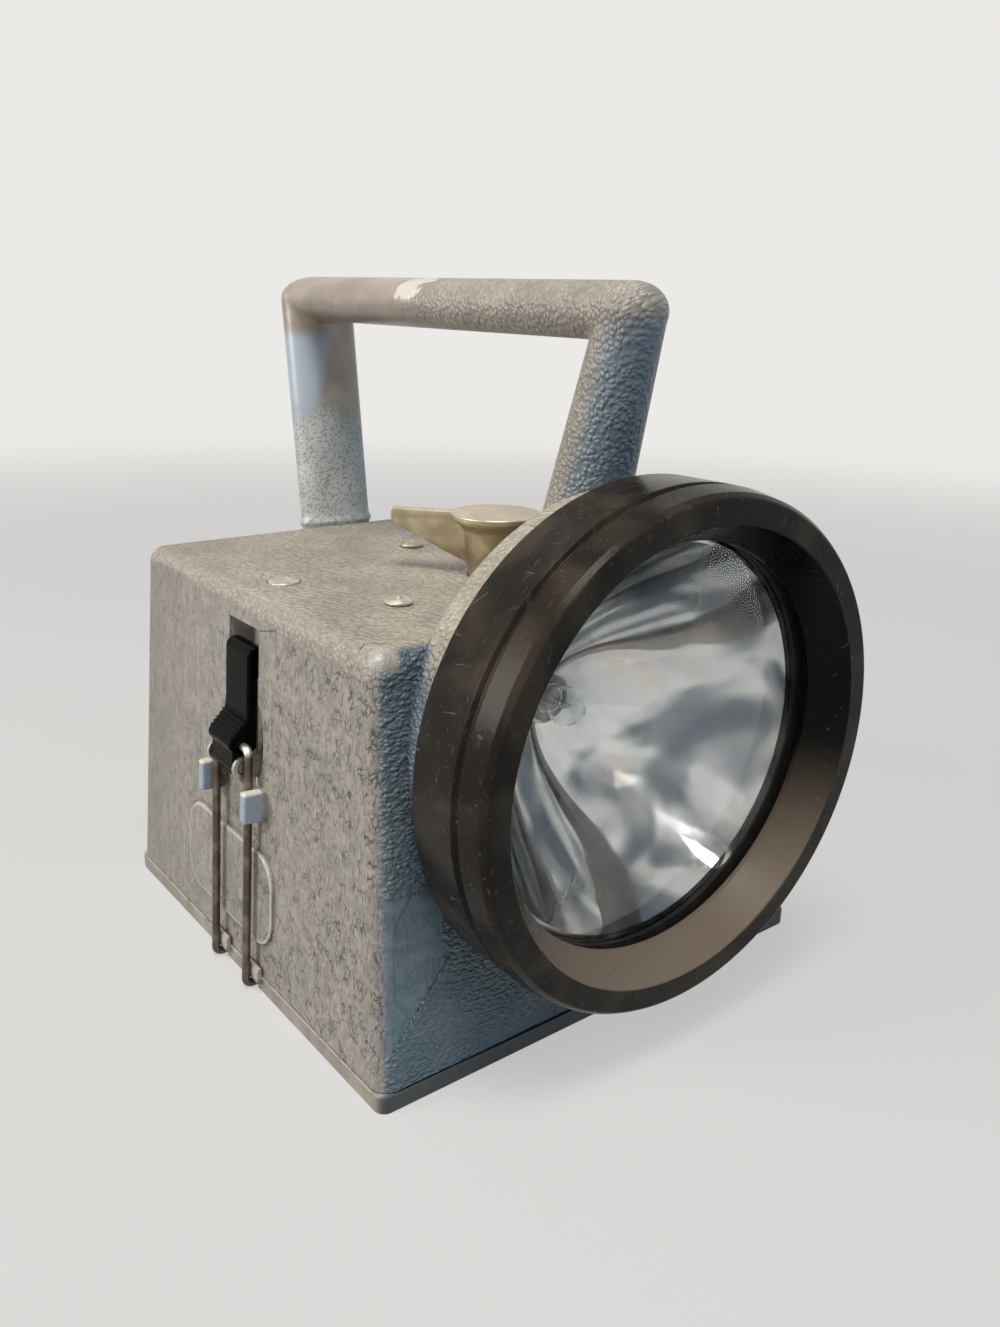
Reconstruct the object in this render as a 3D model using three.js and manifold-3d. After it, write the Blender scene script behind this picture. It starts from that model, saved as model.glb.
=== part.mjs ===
// Morse signal lamp: a cast alloy box with its carrying handle, a round lamp head in a screwed
// bezel on the front, a press-and-turn key on top, and a base plate held on by a lever latch.
// Millimetres, +Z up. The lamp looks along -Y, and the origin is under the middle of the base plate.
import * as THREE from 'three';
import { mergeVertices } from 'three/addons/utils/BufferGeometryUtils.js';
import Module from 'manifold-3d';

const wasm = await Module();
wasm.setup();

// Clearances that every piece shares
const seatGap = 0.3;
const runGap = 0.35;
const overrun = 2;
const weldDistance = 1e-4;

// Facet counts of round pieces
const ringFacets = 48;
const boreFacets = 20;
const pinFacets = 12;
const wireSides = 8;
const bailSteps = 48;
const leadSteps = 12;
const cornerSegments = 3;

// Base plate and its groove for the sealing cord
const base = { width: 150.6, depth: 152.2, thickness: 4.7, cornerRadius: 3 };
const baseGroove = { depth: 1.3, width: 2.6, inset: 0.5, cornerRadius: 5.5 };
const basePad = { width: 66, depth: 64, thickness: 1.6 };

// Cast body. A draft share is how far a wall leans in for each unit of height.
const body = {
  height: 111.2,
  wall: 3.5,
  roof: 3.5,
  cornerRadius: 5,
  edgeRadius: 4.5,
  innerRadius: 2.5,
  innerEdgeRadius: 2,
  sideDraftShare: 0.062,
  frontDraftShare: 0.115,
  rearDraftShare: 0.07,
};
const plaque = { width: 54, height: 27.5, bottom: 14.5, proud: 0.9, sink: 1.5, offset: 7.2, cornerRadius: 9 };
const guideLug = { reach: 6.5, thickness: 3, height: 6, bottom: 54.8 };
const facetSink = 0.6;
const facetOutlineShares = [
  [-0.905, 0.415], [-0.831, 0.483], [-0.738, 0.474], [-0.754, 0.392], [-0.697, 0.306], [-0.939, 0.132],
];

// Carrying handle, cast in one with the body
const handle = {
  barHeight: 184,
  barHalfHeight: 6.9,
  barFrontHalfWidth: 8.6,
  barRearHalfWidth: 12,
  frontFootInset: 15.3,
  frontLean: 20,
  frontFootRadius: 12,
  frontTopRadius: 8.2,
  rearFootOut: 3.3,
  rearLean: 9.6,
  rearHalfWidth: 12.6,
  rearHalfDepth: 7.2,
  ribBottom: 46,
  footSink: 3,
};
const handleSides = 16;
const handleRings = 8;

// Lamp head: neck of the casting, screwed bezel, glass and reflector
const lamp = { axisHeight: 81.4, reach: 24.3 };
const bezel = {
  lipRadius: 65,
  mouthRadius: 57.9,
  seatRadius: 52.6,
  seatDepth: 9.8,
  seatLip: 1.2,
  length: 25.6,
  bandRadius: 66.2,
  backRadius: 64.4,
  grooveOffset: 8,
  grooveWidth: 1.4,
  grooveDepth: 1.2,
  lipRound: 1.2,
  backChamfer: 2.9,
};
const thread = { radius: 58.3, gap: 0.5 };
const glass = { thickness: 3 };
const glassGasket = { thickness: 1.4, width: 5 };
const neck = { flangeRadius: 61.5, flangeBack: 37.4, wall: 3.3 };
const hood = { back: 53.4, rearInnerRadius: 25.3, frontInnerRadius: 42.9, wall: 3.3 };
const reflector = {
  mouthRadius: 51.3, depth: 44, sheet: 0.9, flangeWidth: 5.4, flangeThickness: 0.8, rings: 7, holeRadius: 8,
};

// Bulb and its holder
const bulb = { glassRadius: 5.6, length: 12.6, capRadius: 4.7, flangeRadius: 6.75, flangeThickness: 0.7 };
const holder = {
  outerRadius: 7.6, boreRadius: 5.2, flangeRadius: 11.5, flangeThickness: 1.2, proud: 2.6, length: 15,
};
const tailSpring = { radius: 2.4, length: 3.6 };
const tailDisc = { radius: 7.6, thickness: 1.7 };

// Morse key: knob, stem, cup bush, return spring and contacts
const key = {
  frontInset: 44.8,
  discRadius: 12.8,
  discThickness: 1.8,
  discHeight: 17.8,
  coneRadius: 9.5,
  coneHeight: 2.7,
  postRadius: 7.75,
  postTaper: 11.5,
  postDepth: 7.2,
  stemRadius: 3,
  tailRadius: 2.4,
  travel: 2.5,
  leverAngle: THREE.MathUtils.degToRad(133),
  leverReach: 30,
  leverThickness: 4,
  leverTipDepth: 4.7,
  leverRootDepth: 14.6,
  leverTipChamfer: 1.6,
};
const keyCup = { outerRadius: 11.5, floor: 1.5, depth: 11.3 };
const keySpring = { innerRadius: 4, outerRadius: 6.4 };
const contactPlate = { thickness: 2, cornerRadius: 8 };
const contactBridge = { radius: 7.5, thickness: 1.5 };
const contactStrip = { thickness: 0.8, width: 6, offset: 9.2, toe: 5 };
const stemNut = { radius: 4.3, thickness: 1.7 };

// Rivets that hold the contact plate, their spacers, and the flush disc beside the latch
const topRivet = { headRadius: 4.25, headHeight: 1.7, pipRadius: 0.8, pipHeight: 0.4, shankRadius: 2 };
const rivetTail = { radius: 3.2, thickness: 1.5 };
const rivetSpacerRadius = 4.2;
const topRivetPlace = { side: 40.2, ahead: 11.9, behind: 42.9 };
const blankDisc = { radius: 6, thickness: 2, proud: 0.4, inset: 14.1, behind: 23.7 };

// Lever latch on the left wall. Heights run up the wall, and out is measured off its face.
const latch = {
  pocketBottom: 58,
  pocketTop: 103.5,
  pocketDepth: 7,
  pocketHalfWidth: 8.8,
  pocketWall: 2.5,
  pivotOut: 3.6,
  pivotHeight: 65.8,
  pinRadius: 1.5,
};
const lever = {
  halfWidth: 6.9,
  top: 97,
  faceOut: 2.1,
  backIn: 3.5,
  bottomRadius: 3.1,
  padOut: 6.3,
  padTop: 78.4,
  padTip: 73.6,
  padBottom: 70.6,
  heelHeight: 72,
  topRound: 2.4,
};
const bracket = { sheet: 1.1, bottom: 60, top: 95, cheekIn: 0.4, earRadius: 3.1 };
const bracketRivet = { radius: 1.6, headRadius: 2.8, headHeight: 0.8, heights: [77, 90] };
const bail = {
  wireRadius: 1.15, halfSpread: 9.9, out: 3.1, eyeHeight: 71.3, bend: 1.8, hookReach: 4.8, floorGap: 0.25,
};
const baseEar = { width: 9, out: 1.6, height: 8, slope: 1.5, chamfer: 0.6 };

// Claws on the far side of the base plate, which hook over a ledge inside the right wall
const claw = { offset: 38, width: 14, sheet: 1.6, foot: 12, finger: 5 };
const ledge = { bottom: 9, height: 3, reach: 4.4 };

// Dry cells, their tray, and the terminal board above them
const cell = { radius: 16.4, height: 58, spacing: 34.2, rearGap: 5.6, capRadius: 4.8, capHeight: 1.6 };
const tray = { wall: 1.4, height: 30 };
const board = { sideGap: 2.7, depth: 60, thickness: 2 };
const cellSpring = { topRadius: 7, bottomRadius: 3.6, length: 5 };
const pillar = { radius: 4.5, inset: 8 };
const boardScrew = { radius: 1.6, headRadius: 3, headHeight: 1.8, grip: 5 };
const lead = { radius: 0.9, sag: 9 };

// Heights and places worked out from the sizes above
const halfBaseX = base.width / 2;
const halfBaseY = base.depth / 2;
const bodyBottom = base.thickness + seatGap;
const roofUnderside = body.height - body.roof;
const sideLean = Math.atan(body.sideDraftShare);
const frontLean = Math.atan(body.frontDraftShare);
const topHalfX = halfBaseX - body.sideDraftShare * body.height;
const topFrontY = -halfBaseY + body.frontDraftShare * body.height;
const topRearY = halfBaseY - body.rearDraftShare * body.height;
const frontFootY = topFrontY + handle.frontFootInset;
const frontTopY = frontFootY - handle.frontLean;
const rearFootY = topRearY + handle.rearFootOut;
const rearTopY = rearFootY + handle.rearLean;
const ribBottomY = halfBaseY - body.rearDraftShare * handle.ribBottom - handle.rearHalfDepth - seatGap;
const lampFrontY = -halfBaseY - lamp.reach;
const bezelBackY = lampFrontY + bezel.length;
const seatY = lampFrontY + bezel.seatDepth;
const flangeBackY = lampFrontY + neck.flangeBack;
const hoodRearY = lampFrontY + hood.back;
const keyY = topFrontY + key.frontInset;
const glassFrontY = seatY + bezel.seatLip + seatGap;
const gasketFrontY = glassFrontY + glass.thickness + seatGap;
const reflectorFrontY = gasketFrontY + glassGasket.thickness + seatGap;
const threadFrontY = reflectorFrontY + reflector.flangeThickness + seatGap;
const vertexY = reflectorFrontY + reflector.depth;
const paraboloidScale = reflector.mouthRadius ** 2 / reflector.depth;
const plateTop = roofUnderside - seatGap - keyCup.depth - seatGap;
const plateBottom = plateTop - contactPlate.thickness;
const knobTop = body.height + key.discHeight;
const postBottom = body.height - key.postDepth;
const cellBottom = bodyBottom + basePad.thickness + seatGap + tray.wall + seatGap;
const cellTop = cellBottom + cell.height + cell.capHeight;
const boardBottom = cellTop + seatGap + cellSpring.length + seatGap;
const cellsRearY = halfBaseY - body.wall - body.rearDraftShare * cellTop - cell.rearGap;
const cellsY = cellsRearY - cell.radius - cell.spacing / 2;
const boardDraft = body.sideDraftShare * (boardBottom + board.thickness);
const boardHalfX = halfBaseX - boardDraft - latch.pocketDepth - latch.pocketWall - board.sideGap;
const pillarX = boardHalfX - pillar.inset;
const rivetPlaces = [
  [-topRivetPlace.side, keyY - topRivetPlace.ahead],
  [topRivetPlace.side, keyY - topRivetPlace.ahead],
  [0, keyY + topRivetPlace.behind],
];
const discPlace = { x: -topHalfX + blankDisc.inset, y: keyY + blankDisc.behind };
const cellPlaces = [-1, 1].flatMap((sideX) => [-1, 1].map((sideY) => (
  [sideX * cell.spacing / 2, cellsY + sideY * cell.spacing / 2])));

// Finishes
function finish(color, roughness, metalness) {
  return new THREE.MeshStandardMaterial({ color, roughness, metalness });
}


const castAlloy = finish(0x8f8d88, 0.55, 0.7);
const blackRubber = finish(0x1d1b19, 0.5, 0);
const blackPlastic = finish(0x141312, 0.35, 0);
const nickel = finish(0xb0a68c, 0.35, 0.9);
const brightSteel = finish(0xc9ccce, 0.25, 1);
const darkSteel = finish(0x5b5650, 0.4, 0.9);
const mirror = finish(0xe4e8ec, 0.06, 1);
const clearGlass = finish(0xdfe9ea, 0.05, 0);
const brass = finish(0xb59a55, 0.35, 0.9);
const fibreBoard = finish(0x6b3f22, 0.6, 0);
const cellJacket = finish(0x6f6a5c, 0.5, 0.2);

// Closed solid from a three.js geometry, with slivers dropped and faces turned outwards
function solidOf(geometry) {
  const bare = geometry.clone();
  bare.deleteAttribute('normal');
  bare.deleteAttribute('uv');
  const merged = mergeVertices(bare, weldDistance);
  const points = merged.attributes.position;
  const source = merged.index.array;
  const triangles = [];
  let volume = 0;
  const [a, b, c] = [new THREE.Vector3(), new THREE.Vector3(), new THREE.Vector3()];
  for (let i = 0; i < source.length; i += 3) {
    const [p, q, r] = [source[i], source[i + 1], source[i + 2]];
    if (p === q || q === r || r === p) continue;
    triangles.push(p, q, r);
    volume += a.fromBufferAttribute(points, p).dot(
      b.fromBufferAttribute(points, q).cross(c.fromBufferAttribute(points, r)));
  }
  if (volume < 0) triangles.reverse();
  return new wasm.Manifold(new wasm.Mesh({
    numProp: 3,
    vertProperties: Float32Array.from(points.array),
    triVerts: Uint32Array.from(triangles),
  }));
}

function geometryOf(solid) {
  const mesh = solid.getMesh();
  const geometry = new THREE.BufferGeometry();
  const positions = new Float32Array(mesh.numVert * 3);
  for (let i = 0; i < mesh.numVert; i += 1) {
    for (let k = 0; k < 3; k += 1) positions[i * 3 + k] = mesh.vertProperties[i * mesh.numProp + k];
  }
  geometry.setAttribute('position', new THREE.BufferAttribute(positions, 3));
  geometry.setIndex(new THREE.BufferAttribute(Uint32Array.from(mesh.triVerts), 1));
  geometry.computeVertexNormals();
  return geometry;
}

const joined = (...solids) => solids.reduce((sum, next) => sum.add(next));
const cut = (solid, ...tools) => tools.reduce((rest, tool) => rest.subtract(tool), solid);

// Box between two corners
function block(low, high) {
  const size = high.map((value, i) => value - low[i]);
  const geometry = new THREE.BoxGeometry(...size);
  geometry.translate(...low.map((value, i) => value + size[i] / 2));
  return solidOf(geometry);
}

// Outline with round corners, centred on the origin
function roundedOutline(halfX, halfY, radius) {
  const shape = new THREE.Shape();
  const [x, y] = [halfX - radius, halfY - radius];
  shape.absarc(x, -y, radius, -Math.PI / 2, 0);
  shape.absarc(x, y, radius, 0, Math.PI / 2);
  shape.absarc(-x, y, radius, Math.PI / 2, Math.PI);
  shape.absarc(-x, -y, radius, Math.PI, Math.PI * 1.5);
  shape.closePath();
  return shape;
}

function outlineOf(points) {
  return new THREE.Shape(points.map(([x, y]) => new THREE.Vector2(x, y)));
}

// Plate of an outline in XY between two heights
function plate(shape, low, high, curveSegments = cornerSegments) {
  const depth = high - low;
  const geometry = new THREE.ExtrudeGeometry(shape, { depth, bevelEnabled: false, curveSegments });
  geometry.translate(0, 0, low);
  return solidOf(geometry);
}

// Plate of an outline given in X and Z, between two places along Y
function sidePlate(shape, lowY, highY) {
  const geometry = new THREE.ExtrudeGeometry(shape, {
    depth: highY - lowY, bevelEnabled: false, curveSegments: cornerSegments * 2,
  });
  geometry.rotateX(Math.PI / 2);
  geometry.translate(0, highY, 0);
  return solidOf(geometry);
}

// Ring or disc turned about a vertical axis, from a closed profile of radius and height
function turned(profile, facets = boreFacets) {
  const points = profile.map(([radius, height]) => new THREE.Vector2(radius, height));
  const geometry = new THREE.LatheGeometry([...points, points[0]], facets);
  geometry.rotateX(Math.PI / 2);
  return geometry;
}

function turnedAt(profile, x, y, facets = boreFacets) {
  const geometry = turned(profile, facets);
  geometry.translate(x, y, 0);
  return solidOf(geometry);
}

// The same about the lamp's axis, from a profile of radius and place along Y
function turnedOnLamp(profile, facets = ringFacets) {
  const geometry = turned(profile, facets);
  geometry.rotateX(-Math.PI / 2);
  geometry.translate(0, 0, lamp.axisHeight);
  return solidOf(geometry);
}

function rod(radius, low, high, x = 0, y = 0, facets = boreFacets) {
  return turnedAt([[0, low], [radius, low], [radius, high], [0, high]], x, y, facets);
}

function lampRod(radius, frontY, backY, facets = ringFacets) {
  return turnedOnLamp([[0, frontY], [radius, frontY], [radius, backY], [0, backY]], facets);
}

function lampRing(innerRadius, outerRadius, frontY, backY, facets = ringFacets) {
  return turnedOnLamp(
    [[innerRadius, frontY], [outerRadius, frontY], [outerRadius, backY], [innerRadius, backY]], facets);
}

// Round wire along a path
function wireAlong(path, radius, steps) {
  const section = new THREE.Shape();
  section.absarc(0, 0, radius, 0, Math.PI * 2);
  return solidOf(new THREE.ExtrudeGeometry(section, {
    extrudePath: path, steps, curveSegments: wireSides / 2, bevelEnabled: false,
  }));
}

// Block with round upright corners whose walls lean in with height
function draftedBlock(inset, low, high, cornerRadius, edgeRadius) {
  const [halfX, halfY] = [halfBaseX - inset, halfBaseY - inset];
  const geometry = new THREE.ExtrudeGeometry(roundedOutline(halfX, halfY, cornerRadius), {
    depth: high - low - edgeRadius,
    curveSegments: cornerSegments,
    bevelThickness: edgeRadius,
    bevelSize: edgeRadius,
    bevelOffset: -edgeRadius,
    bevelSegments: cornerSegments,
  });
  geometry.translate(0, 0, low);
  const points = geometry.attributes.position;
  for (let i = 0; i < points.count; i += 1) {
    const height = points.getZ(i);
    const endDraft = points.getY(i) < 0 ? body.frontDraftShare : body.rearDraftShare;
    points.setX(i, points.getX(i) * (1 - body.sideDraftShare * height / halfX));
    points.setY(i, points.getY(i) * (1 - endDraft * height / halfY));
  }
  const spread = [halfBaseX + overrun, halfBaseY + overrun];
  const below = block([-spread[0], -spread[1], low - edgeRadius - overrun], [spread[0], spread[1], low]);
  return cut(solidOf(geometry), below);
}

// Limb of the handle: a round section that changes between two ends in the middle plane
function limb(start, end) {
  const circle = new THREE.Shape();
  circle.absarc(0, 0, 1, 0, Math.PI * 2);
  const geometry = new THREE.ExtrudeGeometry(circle, {
    depth: 1, bevelEnabled: false, curveSegments: handleSides / 2,
  });
  const along = new THREE.Vector2(end.y - start.y, end.z - start.z).normalize();
  const points = geometry.attributes.position;
  for (let i = 0; i < points.count; i += 1) {
    const t = points.getZ(i);
    const across = points.getY(i) * THREE.MathUtils.lerp(start.depth, end.depth, t);
    points.setXYZ(
      i,
      points.getX(i) * THREE.MathUtils.lerp(start.width, end.width, t),
      THREE.MathUtils.lerp(start.y, end.y, t) + across * along.y,
      THREE.MathUtils.lerp(start.z, end.z, t) - across * along.x,
    );
  }
  return solidOf(geometry);
}

function knuckle(halfWidth, halfDepth, halfHeight, y, z) {
  const geometry = new THREE.SphereGeometry(1, handleSides, handleRings);
  geometry.scale(halfWidth, halfDepth, halfHeight);
  geometry.translate(0, y, z);
  return solidOf(geometry);
}

// A solid drawn against the left wall: X points into the wall, Z runs up its face
function onLeftWall(solid) {
  const geometry = geometryOf(solid);
  geometry.rotateY(sideLean);
  geometry.translate(-halfBaseX, 0, 0);
  return solidOf(geometry);
}

function wallPoint(out, height) {
  return {
    x: -halfBaseX - out * Math.cos(sideLean) + height * Math.sin(sideLean),
    z: out * Math.sin(sideLean) + height * Math.cos(sideLean),
  };
}

const lampPart = new THREE.Group();

function addPiece(name, solid, material) {
  const mesh = new THREE.Mesh(geometryOf(solid), material);
  mesh.name = name;
  lampPart.add(mesh);
}

function addSet(name, solids, material) {
  solids.forEach((solid, i) => addPiece(`${name}_${i + 1}`, solid, material));
}

// Casing: body, neck, hood and handle in one casting, then everything that is cut out of it
function handleSolid() {
  const frontFoot = {
    y: frontFootY,
    z: body.height - handle.footSink,
    width: handle.frontFootRadius,
    depth: handle.frontFootRadius,
  };
  const frontTop = {
    y: frontTopY, z: handle.barHeight, width: handle.frontTopRadius, depth: handle.frontTopRadius,
  };
  const rearFoot = {
    y: rearFootY, z: body.height, width: handle.rearHalfWidth, depth: handle.rearHalfDepth,
  };
  const rearTop = { ...rearFoot, y: rearTopY, z: handle.barHeight };
  const ribFoot = { ...rearFoot, y: ribBottomY, z: handle.ribBottom };
  const barFront = {
    y: frontTopY, z: handle.barHeight, width: handle.barFrontHalfWidth, depth: handle.barHalfHeight,
  };
  const barRear = {
    y: rearTopY, z: handle.barHeight, width: handle.barRearHalfWidth, depth: handle.barHalfHeight,
  };
  const frontSizes = [handle.barFrontHalfWidth, handle.frontTopRadius, handle.barHalfHeight];
  const rearSizes = [handle.rearHalfWidth, handle.rearHalfDepth, handle.barHalfHeight];
  const footSizes = [handle.rearHalfWidth, handle.rearHalfDepth, handle.rearHalfDepth];
  return joined(
    limb(frontFoot, frontTop),
    limb(rearFoot, rearTop),
    limb(ribFoot, rearFoot),
    limb(barFront, barRear),
    knuckle(...frontSizes, frontTopY, handle.barHeight),
    knuckle(...rearSizes, rearTopY, handle.barHeight),
    knuckle(...footSizes, rearFootY, body.height),
  );
}

function latchPocket(grow, mouth) {
  return onLeftWall(block(
    [-mouth, -latch.pocketHalfWidth - grow, latch.pocketBottom - grow],
    [latch.pocketDepth + grow, latch.pocketHalfWidth + grow, latch.pocketTop + grow],
  ));
}

function sideDetails() {
  const plaqueShape = roundedOutline(plaque.width / 2, plaque.height / 2, plaque.cornerRadius);
  const plaqueGeometry = geometryOf(plate(plaqueShape, -plaque.sink, plaque.proud));
  plaqueGeometry.rotateZ(Math.PI / 2);
  plaqueGeometry.rotateY(-Math.PI / 2);
  plaqueGeometry.translate(0, plaque.offset, plaque.bottom + plaque.height / 2);
  const lugs = [-1, 1].map((side) => {
    const inner = bail.halfSpread + bail.wireRadius + runGap + seatGap;
    const outer = inner + guideLug.thickness;
    const [near, far] = side < 0 ? [-outer, -inner] : [inner, outer];
    const top = guideLug.bottom + guideLug.height;
    return block([-guideLug.reach, near, guideLug.bottom], [overrun, far, top]);
  });
  return onLeftWall(joined(solidOf(plaqueGeometry), ...lugs));
}

function frontFacets() {
  const corners = facetOutlineShares.map(([across, up]) => [across * halfBaseX, up * body.height]);
  return [-1, 1].map((side) => {
    const shape = outlineOf(corners.map(([x, z]) => [-side * x, z / Math.cos(frontLean)]));
    const geometry = geometryOf(sidePlate(shape, -overrun, facetSink));
    geometry.rotateX(-frontLean);
    geometry.translate(0, -halfBaseY, 0);
    return solidOf(geometry);
  });
}

function hoodCone(radiusGrow, frontY, backY) {
  const slope = (hood.frontInnerRadius - hood.rearInnerRadius) / (hoodRearY - flangeBackY);
  const radiusAt = (y) => hood.rearInnerRadius + radiusGrow + slope * (hoodRearY - y);
  return turnedOnLamp([[0, frontY], [radiusAt(frontY), frontY], [radiusAt(backY), backY], [0, backY]]);
}

function casingSolid() {
  const flangeFrontY = bezelBackY + seatGap;
  const neckInnerRadius = thread.radius - neck.wall;
  const neckFloorY = flangeBackY - neck.wall;
  const shell = joined(
    draftedBlock(0, bodyBottom, body.height, body.cornerRadius, body.edgeRadius),
    lampRod(neck.flangeRadius, flangeFrontY, flangeBackY),
    lampRod(thread.radius, threadFrontY, flangeFrontY + overrun),
    hoodCone(hood.wall, flangeBackY - neck.wall, hoodRearY + hood.wall),
    handleSolid(),
    sideDetails(),
  );
  const inside = joined(
    draftedBlock(body.wall, bodyBottom - overrun, roofUnderside, body.innerRadius, body.innerEdgeRadius),
    lampRod(neckInnerRadius, threadFrontY - overrun, neckFloorY),
    hoodCone(0, neckFloorY - overrun, hoodRearY),
  );
  const pocketBox = latchPocket(latch.pocketWall, 0);
  const pillars = [-1, 1].map((side) => rod(pillar.radius, boardBottom + board.thickness + seatGap,
    roofUnderside + overrun / 2, side * pillarX, cellsY, pinFacets));
  const ledgeX = halfBaseX - body.wall;
  const ledgeBar = block(
    [ledgeX - ledge.reach, -claw.offset - claw.width, ledge.bottom],
    [ledgeX + overrun / 2, claw.offset + claw.width, ledge.bottom + ledge.height],
  );
  const keyHole = rod(key.postRadius + runGap, roofUnderside - overrun, body.height + overrun, 0, keyY);
  const rivetHoles = rivetPlaces.map(([x, y]) => rod(
    topRivet.shankRadius + seatGap, roofUnderside - overrun, body.height + overrun, x, y, pinFacets));
  const discSeat = rod(blankDisc.radius + seatGap, body.height - blankDisc.thickness, body.height + overrun,
    discPlace.x, discPlace.y);
  const screwHoles = [-1, 1].map((side) => rod(boardScrew.radius + seatGap, boardBottom - overrun,
    boardBottom + board.thickness + boardScrew.grip + seatGap * 2, side * pillarX, cellsY, pinFacets));
  const hollow = cut(shell, cut(inside, pocketBox, ledgeBar, ...pillars));
  const holes = [keyHole, discSeat, ...rivetHoles, ...screwHoles];
  return cut(hollow, latchPocket(0, overrun * 5), ...holes, ...frontFacets());
}

addPiece('casing', casingSolid(), castAlloy);

// Base plate with the two ears that the bail hooks under, and its sealing cord
function edgeRing(shrink, low, high) {
  const outer = baseGroove.inset + shrink;
  const inner = baseGroove.inset + baseGroove.width - shrink;
  const innerRadius = baseGroove.cornerRadius - baseGroove.width + shrink;
  return cut(
    plate(roundedOutline(halfBaseX - outer, halfBaseY - outer, baseGroove.cornerRadius - shrink), low, high),
    plate(roundedOutline(halfBaseX - inner, halfBaseY - inner, innerRadius), low - overrun, high + overrun),
  );
}

function basePlateSolid() {
  const slab = plate(roundedOutline(halfBaseX, halfBaseY, base.cornerRadius), 0, base.thickness);
  const groove = edgeRing(0, base.thickness - baseGroove.depth, base.thickness + overrun);
  const earBottom = bail.floorGap + bail.wireRadius * 2 + seatGap;
  const earRootX = -halfBaseX + baseGroove.inset / 2;
  const earShape = outlineOf([
    [earRootX, earBottom],
    [-halfBaseX - baseEar.out + baseEar.chamfer, earBottom],
    [-halfBaseX - baseEar.out, earBottom + baseEar.chamfer],
    [-halfBaseX - baseEar.out, baseEar.height - baseEar.slope],
    [-halfBaseX - seatGap - baseEar.out / 2, baseEar.height],
    [-halfBaseX - seatGap, baseEar.height],
    [-halfBaseX - seatGap, base.thickness],
    [earRootX, base.thickness],
  ]);
  const ears = [-1, 1].map((side) => sidePlate(
    earShape, side * bail.halfSpread - baseEar.width / 2, side * bail.halfSpread + baseEar.width / 2));
  const notchHalf = bail.wireRadius + runGap;
  const notches = [-1, 1].map((side) => block(
    [-halfBaseX - overrun * 2, side * bail.halfSpread - notchHalf, -overrun],
    [-halfBaseX + bail.hookReach - bail.out + runGap, side * bail.halfSpread + notchHalf, earBottom],
  ));
  return cut(joined(cut(slab, groove), ...ears), ...notches);
}

addPiece('base_plate', basePlateSolid(), castAlloy);
addPiece('sealing_cord', edgeRing(
  seatGap, base.thickness - baseGroove.depth + seatGap, base.thickness), blackRubber);

// Pad under the cells, and the claws that hook over the ledge on the far side
function clawSolid(side) {
  const innerWall = halfBaseX - body.wall;
  const standX = innerWall - ledge.reach - claw.sheet - runGap;
  const footZ = base.thickness + seatGap;
  const topZ = ledge.bottom + ledge.height + seatGap;
  const shape = outlineOf([
    [standX - claw.foot, footZ],
    [standX + claw.sheet, footZ],
    [standX + claw.sheet, topZ],
    [standX + claw.finger, topZ],
    [standX + claw.finger, topZ + claw.sheet],
    [standX, topZ + claw.sheet],
    [standX, footZ + claw.sheet],
    [standX - claw.foot, footZ + claw.sheet],
  ]);
  const centre = side * claw.offset;
  return sidePlate(shape, centre - claw.width / 2, centre + claw.width / 2);
}

addPiece('cell_pad', block(
  [-basePad.width / 2, cellsY - basePad.depth / 2, bodyBottom],
  [basePad.width / 2, cellsY + basePad.depth / 2, bodyBottom + basePad.thickness],
), blackRubber);
addSet('base_claw', [-1, 1].map(clawSolid), brightSteel);

// Cells in their tray
function traySolid() {
  const half = cell.spacing / 2 + cell.radius + seatGap;
  const low = bodyBottom + basePad.thickness + seatGap;
  const outer = block(
    [-half - tray.wall, cellsY - half - tray.wall, low],
    [half + tray.wall, cellsY + half + tray.wall, low + tray.height],
  );
  const inner = block(
    [-half, cellsY - half, low + tray.wall], [half, cellsY + half, low + tray.height + overrun]);
  return cut(outer, inner);
}

function cellSolid(x, y) {
  const top = cellBottom + cell.height;
  return turnedAt([
    [0, cellBottom], [cell.radius, cellBottom], [cell.radius, top],
    [cell.capRadius, top], [cell.capRadius, top + cell.capHeight], [0, top + cell.capHeight],
  ], x, y);
}

function cellSpringSolid(x, y) {
  const top = boardBottom - seatGap;
  const low = top - cellSpring.length;
  const profile = [[0, low], [cellSpring.bottomRadius, low], [cellSpring.topRadius, top], [0, top]];
  return turnedAt(profile, x, y, pinFacets);
}

addPiece('cell_tray', traySolid(), blackPlastic);
addSet('dry_cell', cellPlaces.map(([x, y]) => cellSolid(x, y)), cellJacket);
addSet('cell_spring', cellPlaces.map(([x, y]) => cellSpringSolid(x, y)), brightSteel);

// Terminal board and the screws that hold it to the pillars of the casting
function terminalBoardSolid() {
  const slab = block(
    [-boardHalfX, cellsY - board.depth / 2, boardBottom],
    [boardHalfX, cellsY + board.depth / 2, boardBottom + board.thickness],
  );
  const holes = [-1, 1].map((side) => rod(boardScrew.radius + seatGap, boardBottom - overrun,
    boardBottom + board.thickness + overrun, side * pillarX, cellsY, pinFacets));
  return cut(slab, ...holes);
}

function boardScrewSolid(side) {
  const headTop = boardBottom - seatGap;
  const tip = boardBottom + board.thickness + boardScrew.grip;
  return turnedAt([
    [0, headTop - boardScrew.headHeight], [boardScrew.headRadius, headTop - boardScrew.headHeight],
    [boardScrew.headRadius, headTop], [boardScrew.radius, headTop], [boardScrew.radius, tip], [0, tip],
  ], side * pillarX, cellsY, pinFacets);
}

addPiece('terminal_board', terminalBoardSolid(), fibreBoard);
addSet('board_screw', [-1, 1].map(boardScrewSolid), brightSteel);

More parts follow.
